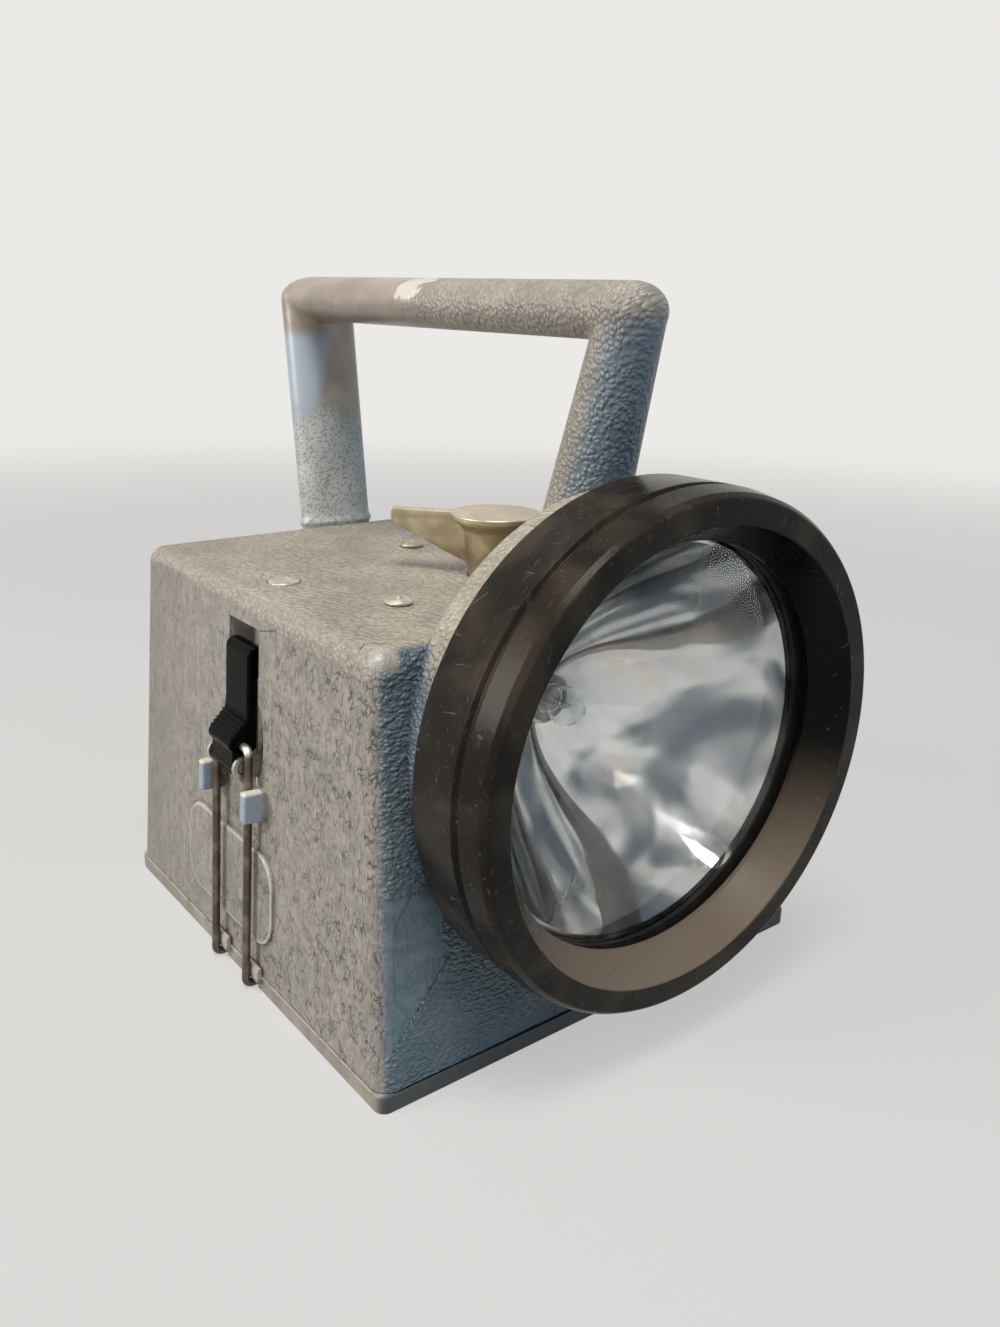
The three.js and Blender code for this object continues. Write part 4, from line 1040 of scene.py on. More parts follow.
def casting_finish():
    """The box: leathery skin on its top, edges and front, and flat, flecked, streaked metal on its sides.
    Painted shade turns the front wall and its facets blue-grey and darkens the creases of the skins and the
    far rear of the top and sides, and a painted highlight lies on the top's front-left corner.
    """
    recipe = Recipe("box_casting")
    x, y, z = recipe.axes()
    on = casting_masks(recipe, x, y, z)
    patches = recipe.noise(patch_size, 4)
    clouds = recipe.noise(cloud_size, 4)
    side_color, dark_flecks, web = side_skin(recipe, y, patches, clouds)
    side_color = left_wall_wear_and_light(recipe, x, y, z, side_color)

    crease_place = recipe.warped(recipe.drawn_out((0.55, 1, 1), (0, 0, 0.66)), 0.004, 0.0014)
    lines = recipe.bumps(crease_size, crease_place)
    top_base = recipe.mix(recipe.rise(patches, 0.35, 0.7), shade(164, 156, 143), shade(182, 173, 158))
    # Painted shade: the top skin's creases are darkened.
    top_color = recipe.mix(recipe.fall(lines, 0.04, 0.34) * 0.36, top_base, shade(104, 96, 84))
    # Painted shade: the top darker towards its far left rear.
    far_top_shade = recipe.rise(y, *far_top_shade_ends) * recipe.rise(-x, *far_top_shade_side)
    top_color = recipe.mix(far_top_shade * 0.3, top_color, shade(112, 105, 93))

    skin = recipe.bumps(wrinkle_size, recipe.warped(recipe.drawn_out((0.7, 1, 1.25)), 0.003, 0.0016))
    # Painted shade and cool light: the front wall and its facets are dark blue-grey, and the front skin's
    # creases are darker still.
    front_shade_base = recipe.mix(recipe.rise(patches, 0.3, 0.7), shade(106, 124, 134), shade(124, 139, 147))
    front_shade_color = recipe.mix((1 - skin) * 0.5, front_shade_base, shade(57, 72, 84))
    facet_shade_color = recipe.mix(recipe.rise(clouds, 0.35, 0.65), shade(100, 119, 130), shade(119, 135, 144))
    edge_place = recipe.warped(recipe.drawn_out((1, 0.6, 0.6), (0.7, 0, 0)), 0.002, 0.001)
    edge_skin = recipe.bumps(edge_skin_size, edge_place)
    # Painted shade: the edge skin's creases are darkened.
    edge_color = recipe.mix((1 - edge_skin) * 0.6, shade(174, 168, 156), shade(108, 102, 92))

    color = recipe.mix(on["flat top"], side_color, top_color)
    color = recipe.mix(on["edge"], color, edge_color)
    color = recipe.mix(on["front"], color, recipe.mix(on["facet"], front_shade_color, facet_shade_color))
    color = recipe.mix(on["flange"], color, top_color)
    # Painted highlight at the front-left corner of the top.
    color = recipe.mix(on["painted_glint"] * 0.8, color, shade(188, 182, 172))
    color = recipe.mix(hair_cracks(recipe, x, y, z) * 0.8, color, shade(44, 39, 34))

    rough_front = on["front"] * (1 - on["facet"])
    height = on["flat top"] * recipe.rise(lines, 0.0, 0.7) * 1.5 + on["edge"] * edge_skin * 0.8
    height = (height + rough_front * skin * 1.9) * (1 - on["painted_glint"])
    under = recipe.relief(clouds * 0.4 - dark_flecks - web, fleck_relief)
    roughness = 0.46 - rough_front * 0.1 + dark_flecks * 0.12
    return recipe.finish(
        color, roughness, recipe.relief(height, skin_relief, under), casting_metallic, casting_gloss)


box_finish = casting_finish()
lug_reach = 0.0065
lug_thickness = 0.003
lug_low = 0.0523
lug_height = 0.0088
lug_gap = 0.0117
lug_edge = 0.0007
plaque_proud = 0.0009
plaque_sink = 0.0015
recess_low = 0.058
recess_high = 0.1035
recess_depth = 0.007
recess_wall = 0.0025
recess_overrun = 0.01
bay_middle = 0.0725
bay_half_sizes = (0.0017, 0.0032, 0.0105)
neck_front = -0.083
neck_radius = 0.0583
neck_bore_radius = 0.055
flange_front = ring_back + 0.0003
flange_back = -0.063
flange_radius = 0.0615
flange_wall = 0.0033
flange_front_edge = 0.0006
flange_back_edge = 0.0012
hood_back = -0.047
hood_wall = 0.0033
casting_edge = 0.00025
hood_rear_radius = 0.0253
hood_front_radius = 0.0429


def plaque():
    """The raised plaque with round corners, drawn against the left wall."""
    outline = ring_outline(plaque_half_width, plaque_height / 2, plaque_corner)
    middle_height = plaque_bottom + plaque_height / 2
    mesh = shell([
        [(out, plaque_offset + along, middle_height + up) for along, up in outline]
        for out in (plaque_sink, -plaque_proud)
    ])
    rim = [edge for edge in mesh.edges if all(vert.co.x < 0 for vert in edge.verts)]
    return on_left_wall(with_mesh("plaque", edged(mesh, rim, plaque_proud * 0.6), box_finish))


def guide_lugs():
    lugs = []
    for side in (-1, 1):
        near, far = sorted((side * lug_gap, side * (lug_gap + lug_thickness)))
        lugs.append(on_left_wall(block(
            (-lug_reach, near, lug_low), (overrun, far, lug_low + lug_height), lug_edge)))
    return lugs


def hood_cone(growth, front, back):
    """The hood's cone from front to back, or with a growth the same cone with its wall outside it."""
    slope = (hood_front_radius - hood_rear_radius) / (hood_back - flange_back)
    radii = [hood_rear_radius + growth + slope * (hood_back - place) for place in (front, back)]
    fillet = growth * 1.5
    profile = rounded([(0, front, 0), (radii[0], front, 0), (radii[1], back, fillet), (0, back, 0)])
    return about_lamp("hood", profile, box_finish)


def lamp_rod(radius, front, back):
    profile = [(0, front), (radius, front), (radius, back), (0, back)]
    return about_lamp("rod", profile, box_finish)


def upright_rod(radius, low, high, x, y):
    profile = [(0, low), (radius, low), (radius, high), (0, high)]
    return with_mesh("rod", turned(profile, rod_segments, Matrix.Translation((x, y, 0))), box_finish)


def neck_flange():
    corners = [
        (0, flange_front, 0), (flange_radius, flange_front, flange_front_edge),
        (flange_radius, flange_back, flange_back_edge), (0, flange_back, 0),
    ]
    return about_lamp("flange", rounded(corners), box_finish)


def recess(growth):
    """The latch's recess, or with a growth the block of metal that is left round it inside."""
    return on_left_wall(block(
        (0 if growth else -recess_overrun, -recess_half_width - growth, recess_low - growth),
        (recess_depth + growth, recess_half_width + growth, recess_high + growth)))


def recess_bays():
    """Shallow hollows ground out of both edges of the recess, beside the lever's pivot."""
    bays = []
    for side in (-1, 1):
        mesh = bmesh.new()
        stand = Matrix.Translation((0, side * recess_half_width, bay_middle))
        stand = stand @ Matrix.Diagonal((*bay_half_sizes, 1))
        bmesh.ops.create_uvsphere(mesh, u_segments=32, v_segments=20, radius=1, matrix=stand)
        bays.append(on_left_wall(with_mesh("bay", mesh, box_finish)))
    return bays


def hollow_tools():
    """What is empty inside the casting: the box, the neck and the hood, without the latch's recess."""
    inside = drafted_box(box_wall, box_bottom - overrun, box_top - box_wall, inner_corner, inner_edge)
    neck_floor = flange_back - flange_wall
    combined(inside, "UNION", [
        lamp_rod(neck_bore_radius, neck_front - overrun, neck_floor),
        hood_cone(0, neck_floor - overrun, hood_back),
    ])
    return combined(inside, "DIFFERENCE", [recess(recess_wall)])


key_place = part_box("key_cup")
key_y = (key_place[0].y + key_place[1].y) / 2
key_hole_radius = 0.0081
disc_low, disc_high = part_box("blanking_disc")
disc_place = (disc_low + disc_high) / 2
disc_face_radius = 0.0043
fit_gap = 0.0003

facet_shares = (
    (-0.905, 0.415), (-0.831, 0.483), (-0.738, 0.474), (-0.754, 0.392), (-0.697, 0.306), (-0.939, 0.132),
)
facet_depth = 0.0005
ridge_half_width = 0.0006
ridge_proud = 0.0002
ridge_start = 0.0285
ridge_end = 0.064


def front_facets():
    """Two flat, smooth patches low on the front wall, a little below its wrinkled skin."""
    tools = []
    for side in (-1, 1):
        corners = [(-side * across * box_half_x, up * box_top) for across, up in facet_shares]
        rows = [
            [(x, -box_half_y + front_draft_share * z + depth, z) for x, z in corners]
            for depth in (-overrun, facet_depth)
        ]
        tools.append(with_mesh("facet", shell(rows), box_finish))
    return tools


def parting_ridge():
    """The thin raised line that the mould's joint leaves on the top, from the rear leg to a rivet."""
    low = (-ridge_half_width, ridge_start, box_top - overrun)
    high = (ridge_half_width, ridge_end, box_top + ridge_proud)
    return block(low, high, ridge_proud)


box_shell = drafted_box(0.0, box_bottom, box_top, box_corner, box_edge)
combined(box_shell, "UNION", [
    neck_flange(),
    lamp_rod(neck_radius, neck_front, flange_front + overrun),
    hood_cone(hood_wall, flange_back - flange_wall, hood_back + hood_wall),
    plaque(),
    parting_ridge(),
] + guide_lugs())
hole_top = box_top + overrun
combined(box_shell, "DIFFERENCE", [
    hollow_tools(),
    recess(0),
    upright_rod(key_hole_radius, box_top - box_wall - overrun, hole_top, 0, key_y),
    upright_rod(disc_face_radius + fit_gap, disc_low.z - fit_gap, hole_top, disc_place.x, disc_place.y),
] + front_facets() + recess_bays())
smoothed(box_shell, casting_edge)
box_shell.name = "box_shell"
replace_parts(box_shell, "casing")
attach(box_shell, "lamp_body")


# Carrying handle
# It is cast in one with the box: a round front leg, a bar that widens to the rear, and a flat oval
# rear leg that runs on down the rear wall as a rib. Hands have polished its rear half.
bar_height = 0.184
bar_half_height = 0.0069
bar_front_half_width = 0.0086
bar_rear_half_width = 0.012
front_foot = (-0.048, box_top - 0.003)
front_top = (-0.068, bar_height)
rear_foot = (0.0716, box_top)
rear_top = (0.0812, bar_height)
rib_foot = (0.0654, 0.046)
front_foot_radius = 0.012
front_top_radius = 0.0082
rear_half_width = 0.0126
rear_half_depth = 0.0072
limb_segments = 48
limb_steps = 30
skin_voxel = 0.0006
soften_rounds = 12
foot_fillet = 0.0028


def limb(start, end, start_sizes, end_sizes, flare=0.0):
    """A round limb between two points (y, z). Sizes are half width and half depth at each end."""
    along = (Vector(end) - Vector(start)).normalized()
    rings = []
    for step in range(limb_steps + 1):
        share = step / limb_steps
        y, z = Vector(start).lerp(Vector(end), share)
        rise_left = (foot_fillet - (z - box_top)) / foot_fillet
        swell = 0.0
        if flare and rise_left > 0:
            swell = flare * (1 - math.sqrt(max(0.0, 1 - min(rise_left, 1.0) ** 2)))
        half_width = start_sizes[0] + (end_sizes[0] - start_sizes[0]) * share + swell
        half_depth = start_sizes[1] + (end_sizes[1] - start_sizes[1]) * share + swell
        ring = []
        for turn in range(limb_segments):
            angle = math.tau * turn / limb_segments
            across = half_depth * math.sin(angle)
            ring.append((half_width * math.cos(angle), y + across * along.y, z - across * along.x))
        rings.append(ring)
    return with_mesh("limb", shell(rings), box_finish)


def knuckle(half_width, half_depth, half_height, place):
    mesh = bmesh.new()
    stand = Matrix.Translation((0, *place)) @ Matrix.Diagonal((half_width, half_depth, half_height, 1))
    bmesh.ops.create_uvsphere(
        mesh, u_segments=limb_segments, v_segments=limb_segments // 2, radius=1, matrix=stand)
    return with_mesh("knuckle", mesh, box_finish)


bar_start = (0.170, 0.176)
bar_rubbed_start = (-0.002, 0.022)
leg_rubbed_start = (0.143, 0.152)
rear_leg_reach = (0.05, 0.06)
rear_leg_skin = (0.045, 0.055)
ragged_patch_size = 0.005
ragged_patch_reach = 0.02
blue_reflection_heights = (0.139, 0.156)
blue_reflection_top = 0.172
blue_reflection_taper = 0.22
blue_reflection_side = (-0.001, 0.004)
leg_lean = 0.263
leg_middle = -0.048
blue_shade_reach = (-0.007, 0.002)
blue_shade_length = (-0.04, -0.035)
blue_shade_heights = (0.177, 0.187)
blue_shade_side = (0.001, 0.006)
chip_place = 0.0125
chip_size = (0.0045, 0.0055)
chip_ragged_size = 0.003
chip_ragged_reach = 0.016
chip_side = (-0.002, 0.0005)
chip_heights = (0.1842, 0.1856)
leg_skin_size = 0.0013
bar_skin_size = 0.0011
pit_size = 0.0009
hand_wave_size = 0.004
handle_relief = 0.0004
hand_wave_relief = 0.0001


def handle_finish():
    """Leathery casting skin, rubbed smooth and brown on the rear of the bar and the top of its leg. Its
    creases and pits are darkened with painted shade, a painted blue reflection lies on the rear leg, and
    painted blue shade lies on the front of the front leg.
    """
    recipe = Recipe("handle_casting")
    x, y, z = recipe.axes()
    ragged = recipe.noise(ragged_patch_size, 3) * ragged_patch_reach - ragged_patch_reach / 2
    on_bar = recipe.rise(z, *bar_start)
    bar_rubbed = recipe.rise(y + ragged, *bar_rubbed_start) * on_bar
    on_leg = recipe.rise(y, *rear_leg_reach)
    rubbed = recipe.larger(bar_rubbed, recipe.rise(z + ragged, *leg_rubbed_start) * on_leg)
    on_rear_leg = recipe.rise(y, *rear_leg_skin) * (1 - on_bar)

    skin = recipe.bumps(leg_skin_size, recipe.warped(recipe.place, 0.003, 0.0016))
    across_place = recipe.warped(recipe.drawn_out((0.45, 1, 0.8)), 0.004, 0.0014)
    ridges = skin * (1 - on_bar) + recipe.bumps(bar_skin_size, across_place) * on_bar
    patches = recipe.rise(recipe.noise(patch_size, 4), 0.35, 0.7)
    rough_base = recipe.mix(patches, shade(158, 152, 142), shade(176, 169, 157))
    # Painted shade: the skin's creases are darkened.
    rough_color = recipe.mix((1 - ridges) * 0.5, rough_base, shade(98, 93, 85))
    pits = recipe.rise(recipe.noise(pit_size, 3), 0.53, 0.62)
    pitted_base = recipe.mix(patches, shade(174, 174, 170), shade(190, 189, 184))
    # Painted shade: the pits are darkened.
    pitted = recipe.mix(pits * 0.45, pitted_base, shade(104, 104, 102))
    color = recipe.mix(on_rear_leg, rough_color, pitted)
    color = recipe.mix(rubbed, color, recipe.mix(patches, shade(146, 135, 124), shade(168, 157, 144)))

    # A painted blue reflection on the upper rear leg.
    blue_reflection_paint = recipe.rise(z + ragged, *blue_reflection_heights) * on_leg * (1 - on_bar)
    blue_reflection_paint = blue_reflection_paint * recipe.rise(-x - (blue_reflection_top - z) * blue_reflection_taper, *blue_reflection_side)
    color = recipe.mix(blue_reflection_paint * 0.85, color, shade(170, 183, 195))
    # Painted blue shade on the front of the front leg.
    lean_gap = y - leg_middle + (z - box_top) * leg_lean
    blue_shade_paint = recipe.fall(lean_gap, *blue_shade_reach) * recipe.fall(y, *blue_shade_length)
    blue_shade_paint = blue_shade_paint * recipe.fall(z, *blue_shade_heights) * (1 - recipe.rise(x, *blue_shade_side) * 0.8)
    color = recipe.mix(blue_shade_paint * 0.68, color, shade(80, 106, 128))

    chip_gap = abs(y - chip_place) + (recipe.noise(chip_ragged_size, 3) - 0.5) * chip_ragged_reach
    chip = recipe.fall(chip_gap, *chip_size) * recipe.rise(-x, *chip_side) * recipe.rise(z, *chip_heights)
    color = recipe.mix(chip, color, shade(208, 202, 192))

    height = (1 - rubbed) * (1 - on_rear_leg) * ridges
    height = height - pits * on_rear_leg * (1 - rubbed) * 0.35 - chip * 0.15
    waves = recipe.relief(recipe.noise(hand_wave_size, 3), hand_wave_relief)
    return recipe.finish(
        color, 0.42 - rubbed * 0.1, recipe.relief(height, handle_relief, waves),
        casting_metallic + rubbed * 0.12, casting_gloss)


def carrying_handle():
    """The limbs and knuckles joined, remeshed into one skin and softened where they meet."""
    rear = (rear_half_width, rear_half_depth)
    bar_ends = [(half_width, bar_half_height) for half_width in (bar_front_half_width, bar_rear_half_width)]
    shells = [
        limb(front_foot, front_top, (front_foot_radius,) * 2, (front_top_radius,) * 2, foot_fillet),
        limb(rear_foot, rear_top, rear, rear, foot_fillet * 0.4),
        limb(rib_foot, rear_foot, rear, rear),
        limb(front_top, rear_top, *bar_ends),
        knuckle(bar_front_half_width, front_top_radius, bar_half_height, front_top),
        knuckle(rear_half_width, rear_half_depth, bar_half_height, rear_top),
        knuckle(rear_half_width, rear_half_depth, rear_half_depth, rear_foot),
    ]
    handle = combined(shells[0], "UNION", shells[1:])
    skin = handle.modifiers.new("skin", "REMESH")
    skin.mode = "VOXEL"
    skin.voxel_size = skin_voxel
    soften = handle.modifiers.new("soften", "SMOOTH")
    soften.factor = 0.5
    soften.iterations = soften_rounds
    return combined(applied(handle), "DIFFERENCE", [hollow_tools()])


handle = carrying_handle()
handle.name = "carrying_handle"
handle.data.materials.clear()
handle.data.materials.append(handle_finish())
handle.data.shade_smooth()
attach(handle, "lamp_body")


# Key
# A cast nickel-brass knob with a finger lever. It turns a quarter turn to lock, and its post is
# pressed down against a spring in a brass cup to send the signals.
knob_face_edge = (0.1284, 0.1289)
knob_band_low = (0.1262, 0.1266)
knob_band_high = (0.1276, 0.128)
knob_stain_top = 0.1205
knob_stain_reach = 0.01
knob_stain_edge = (0.004, 0.009)
knob_patch_size = 0.006
knob_dent_size = 0.0018
knob_stain_size = 0.004
knob_grain_size = 0.0012
knob_relief = 0.00006


def knob_finish():
    recipe = Recipe("worn_nickel")
    patches = recipe.rise(recipe.noise(knob_patch_size, 4), 0.35, 0.7)
    dents = recipe.rise(recipe.noise(knob_dent_size, 2), 0.66, 0.72)
    height = recipe.axes()[2]
    on_top = recipe.rise(height, *knob_face_edge)
    band = recipe.rise(height, *knob_band_low) * recipe.fall(height, *knob_band_high)
    side = recipe.mix(patches, shade(162, 147, 118), shade(188, 175, 147))
    green = recipe.mix(band * 0.5, side, shade(146, 146, 112))
    top = recipe.mix(patches, shade(190, 176, 152), shade(210, 197, 176))
    color = recipe.mix(on_top, green, top)
    ragged = recipe.noise(knob_stain_size, 3) * knob_stain_reach
    stain = recipe.rise(knob_stain_top - height + ragged, *knob_stain_edge)
    stained = recipe.mix(stain * 0.45, color, shade(112, 84, 56))
    normal = recipe.relief(recipe.noise(knob_grain_size, 3) - dents * 0.8, knob_relief)
    return recipe.finish(stained, 0.34 + patches * 0.14, normal, 0.75)


knob_low, knob_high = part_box("switch_knob")
knob_top = knob_high.z
knob_bottom = knob_low.z
knob_disc_radius = 0.0128
knob_disc_thickness = 0.0018
knob_groove = 0.0005
knob_cone_radius = 0.0095
knob_cone_height = 0.0027
knob_post_radius = 0.00775
knob_post_taper = 0.0115
knob_post_bottom = 0.104
knob_stem_radius = 0.003
knob_tail_radius = 0.0024
knob_tail_top = 0.0938
lever_angle = math.radians(133)
lever_reach = 0.030
lever_half_thickness = 0.002
lever_tip_depth = 0.0047
lever_root_depth = 0.0146
lever_tip_chamfer = 0.0016
lever_edge = 0.0003
disc_under = knob_top - knob_disc_thickness
post_top = disc_under - knob_cone_height
knob_corners = [
    (0, knob_bottom, 0), (knob_tail_radius, knob_bottom, 0), (knob_tail_radius, knob_tail_top, 0),
    (knob_stem_radius, knob_tail_top, 0), (knob_stem_radius, knob_post_bottom, 0),
    (knob_post_radius, knob_post_bottom, 0.0004), (knob_post_radius, post_top - knob_post_taper, 0.004),
    (knob_cone_radius, post_top, 0.0015), (knob_disc_radius - knob_groove * 2, disc_under - knob_groove, 0),
    (knob_disc_radius - knob_groove * 2, disc_under, 0),
    (knob_disc_radius, disc_under, 0.0003), (knob_disc_radius, knob_top, 0.0004), (0, knob_top, 0),
]


def knob_lever():
    """The lever: a thin web under the disc that tapers out to its tip."""
    outline = [
        (0, knob_top), (lever_reach, knob_top), (lever_reach, knob_top - lever_tip_depth + lever_tip_chamfer),
        (lever_reach - lever_tip_chamfer, knob_top - lever_tip_depth),
        (knob_post_radius, knob_top - lever_root_depth), (0, knob_top - lever_root_depth),
    ]
    mesh = shell([[(x, side * lever_half_thickness, z) for x, z in outline] for side in (-1, 1)])
    edged(mesh, mesh.edges[:], lever_edge, 2)
    mesh.transform(Matrix.Translation((0, key_y, 0)) @ Matrix.Rotation(lever_angle, 4, "Z"))
    return with_mesh("lever", mesh, worn_nickel)


worn_nickel = knob_finish()
knob = with_mesh(
    "key_knob", turned(rounded(knob_corners), 96, Matrix.Translation((0, key_y, 0))), worn_nickel)
combined(knob, "UNION", [knob_lever()])
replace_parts(smoothed(knob), "switch_knob")
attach(knob, "knob")

spring_low, spring_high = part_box("key_spring")
spring_wire = 0.0006
spring_turns = 5.0
spring_length = spring_high.z - spring_low.z
spring_radius = (spring_high.x - spring_low.x) / 2 - spring_wire
spring_sizes = {
    "turns": spring_turns, "radius": spring_radius, "length": spring_length - 2 * spring_wire,
    "wire": spring_wire,
}
spring_foot = (0, key_y, spring_low.z + spring_wire)
return_spring = wire_coil("return_spring", spring_sizes, 24, spring_foot, (0, 0, 0))
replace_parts(return_spring, "key_spring")
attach(return_spring, "lamp_body")
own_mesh(return_spring)


# Rivets and blanking disc
# Three rivets with hammered heads hold the contact plate under the top, and a plain disc closes an
# unused hole beside the latch.
rivet_stain_start = (0.015, 0.02)
rivet_patch_size = 0.003
dimple_size = 0.0012
rivet_stain_size = 0.004
dimple_relief = 0.0002


def rivet_finish():
    recipe = Recipe("rivet_alloy")
    patches = recipe.rise(recipe.noise(rivet_patch_size, 4), 0.35, 0.7)
    dimples = recipe.noise(dimple_size, 2)
    y = recipe.axes()[1]
    stain = recipe.rise(y, *rivet_stain_start) * recipe.rise(recipe.noise(rivet_stain_size, 3), 0.35, 0.6)
    color = recipe.mix(patches, shade(176, 168, 154), shade(206, 200, 188))
    stained = recipe.mix(stain * 0.6, color, shade(150, 122, 90))
    return recipe.finish(stained, 0.4 + dimples * 0.1, recipe.relief(dimples, dimple_relief), 0.5)


rivet_boxes = [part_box(f"top_rivet_{number}") for number in (1, 2, 3)]
rivet_places = [(low + high) / 2 for low, high in rivet_boxes]
rivet_crown = rivet_boxes[0][1].z
rivet_tail = rivet_boxes[0][0].z
rivet_head_radius = 0.0037
rivet_shank_radius = 0.002
rivet_head_base = box_top + fit_gap
rivet_pip_radius = 0.0008
rivet_pip_height = 0.0004
rivet_tail_radius = 0.0032
rivet_tail_height = 0.0015
rivet_rim_height = 0.0007
rivet_dome_drop = 0.0001
rivet_lump = 0.00025
rivet_lump_size = 0.0022
rivet_turn = 2.1
rivet_alloy = rivet_finish()


def rivet_model():
    """One rivet about the origin, its head lumped by the hammer."""
    dome_top = rivet_crown - rivet_pip_height
    tail_top = rivet_tail + rivet_tail_height
    head_rim = rivet_head_base + rivet_rim_height
    corners = [
        (0, rivet_tail, 0), (rivet_tail_radius, rivet_tail, 0.0003), (rivet_tail_radius, tail_top, 0.0003),
        (rivet_shank_radius, tail_top, 0), (rivet_shank_radius, rivet_head_base, 0),
        (rivet_head_radius, rivet_head_base, 0.0002), (rivet_head_radius, head_rim, 0.0005),
        (rivet_head_radius * 0.7, dome_top - rivet_dome_drop, 0.0008), (rivet_pip_radius, dome_top, 0.0002),
        (rivet_pip_radius * 0.7, rivet_crown, 0.0002), (0, rivet_crown, 0),
    ]
    mesh = turned(rounded(corners), 40, Matrix.Identity(4))
    for vert in mesh.verts:
        if vert.co.z > rivet_head_base + fit_gap:
            lump = noise.noise(vert.co / rivet_lump_size)
            vert.co.z = min(vert.co.z + rivet_lump * lump, rivet_crown)
            vert.co.xy *= 1 - max(0.0, lump) * 0.06
    model = with_mesh("rivet_model", mesh, rivet_alloy)
    model.data.shade_smooth()
    return model


def rivets():
    """The rivet set on its three places, each turned another way."""
    tree = Tree("rivets", {"turn": rivet_turn})
    model = rivet_model()
    source = tree.node("GeometryNodeObjectInfo", {}, {"Object": model}, "Geometry")
    parts = tree.node("GeometryNodeJoinGeometry", {}, {})
    for number, place in enumerate(rivet_places):
        angle = tree.node("ShaderNodeMath", {"operation": "MULTIPLY"}, {
            0: tree.start.outputs["turn"], 1: number})
        placed = tree.node("GeometryNodeTransform", {}, {
            "Geometry": source, "Translation": (place.x, place.y, 0),
            "Rotation": tree.node("ShaderNodeCombineXYZ", {}, {"Z": angle})})
        tree.group.links.new(placed, parts.node.inputs[0])
    piece = tree.result(parts, rivet_alloy, "hammered_rivets")
    bpy.data.objects.remove(model)
    return piece


rivet_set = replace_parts(rivets(), "top_rivet_1", "top_rivet_2", "top_rivet_3")
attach(rivet_set, "lamp_body")

disc_corners = [
    (0, disc_low.z, 0), (disc_face_radius, disc_low.z, 0.0002), (disc_face_radius, disc_high.z, 0.0004),
    (0, disc_high.z, 0),
]
blanking_disc = with_mesh(
    "flush_disc",
    turned(rounded(disc_corners), 64, Matrix.Translation((disc_place.x, disc_place.y, 0))), rivet_alloy)
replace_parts(smoothed(blanking_disc), "blanking_disc")
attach(blanking_disc, "lamp_body")


# Lever latch
# A black moulded lever turns on a pin in a pressed steel bracket, which is riveted into the recess.
# Its thumb pad has ridges across it, and it pulls the bail up over centre.
pin_out = 0.0036
pin_height = 0.0658
eye_out = 0.0031
eye_height = 0.0713
latch_half_width = 0.0069
latch_edge = 0.0008
latch_corners = [
    (-0.0060, 0.0634, 0.0022), (-0.0012, 0.0634, 0.0022), (-0.0008, 0.0689, 0.001), (0.0035, 0.0720, 0.0016),
    (0.0035, 0.0985, 0.0027), (-0.0021, 0.0985, 0.0026), (-0.0021, 0.0792, 0.0016),
]
pad_ridges = 5
pad_start = (-0.0024, 0.0786)
pad_end = (-0.0067, 0.0736)
pad_ridge_height = 0.0004
pad_tip = [(-0.0070, 0.0730), (-0.0072, 0.0722), (-0.0070, 0.0713), (-0.0065, 0.0706), (-0.0060, 0.0698)]
bore_segments = 24
pin_bore_radius = 0.00185
eye_bore_radius = 0.0015


def latch_profile():
    """The lever's side, with the ridges of its thumb pad worked out along the pad's slope."""
    start, end = Vector(pad_start), Vector(pad_end)
    outward = Vector((start.y - end.y, end.x - start.x)).normalized() * -pad_ridge_height
    points = rounded(latch_corners + [(*pad_end, 0)], 6)[:-1]
    for ridge in range(pad_ridges):
        low, middle, high = (start.lerp(end, (ridge + part) / pad_ridges) for part in (0.12, 0.5, 0.88))
        points += [tuple(low), tuple(middle + outward), tuple(high)]
    return points + pad_tip


def latch_lever():
    """The lever, rounded along its two sides, with the bores for its pin and for the bail."""
    profile = latch_profile()
    mesh = shell([[(x, side * latch_half_width, z) for x, z in profile] for side in (-1, 1)])
    rim = [edge for face in mesh.faces if len(face.verts) == len(profile) for edge in face.edges]
    lever = with_mesh("latch_handle", edged(mesh, rim, latch_edge, 4), black_moulding)
    reach = latch_half_width + overrun
    bores = []
    for radius, out, height in (
        (pin_bore_radius, pin_out, pin_height), (eye_bore_radius, eye_out, eye_height),
    ):
        stand = Matrix.Translation((-out, 0, height)) @ Matrix.Rotation(math.pi / 2, 4, "X")
        profile = [(0, -reach), (radius, -reach), (radius, reach), (0, reach)]
        bores.append(with_mesh("bore", turned(profile, bore_segments, stand), black_moulding))
    return on_left_wall(combined(lever, "DIFFERENCE", bores))


latch = smoothed(latch_lever(), 0.0, 2, math.radians(40))
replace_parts(latch, "latch_lever")
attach(latch, "lever")
for node, name in (
    ("latch_bracket", "pressed_bracket"), ("lever_pin", "pivot_pin"),
    ("bracket_rivet_1", "bracket_rivet_low"), ("bracket_rivet_2", "bracket_rivet_high"),
):
    piece = copied(name, node, bright_steel, 0.00015)
    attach(piece, "lamp_body")


# Wire bail
# One spring wire: its top runs through the lever, its legs pass between the guide lugs, and its feet
# hook under the ears of the base plate. The wire is browned steel.
wire_bright_heights = (0.0695, 0.0712)
brown_patch_size = 0.005
wire_line_size = 0.0004
wire_line_relief = 0.00002


def browned_finish():
    recipe = Recipe("browned_wire")
    patches = recipe.rise(recipe.noise(brown_patch_size, 4), 0.4, 0.7)
    drawn = recipe.noise(wire_line_size, 2, recipe.drawn_out((1, 1, 0.05)))
    height = recipe.axes()[2]
    bright = recipe.rise(height, *wire_bright_heights)
    color = recipe.mix(patches, shade(92, 84, 74), shade(128, 118, 106))
    worn = recipe.mix(bright, color, shade(214, 208, 198))
    return recipe.finish(worn, 0.3 + drawn * 0.12, recipe.relief(drawn, wire_line_relief), 0.9)


wire_radius = 0.00115
wire_half_spread = 0.0099
wire_bend = 0.0019
wire_hook = 0.0048
wire_floor_gap = 0.00025
wire_rings = 10


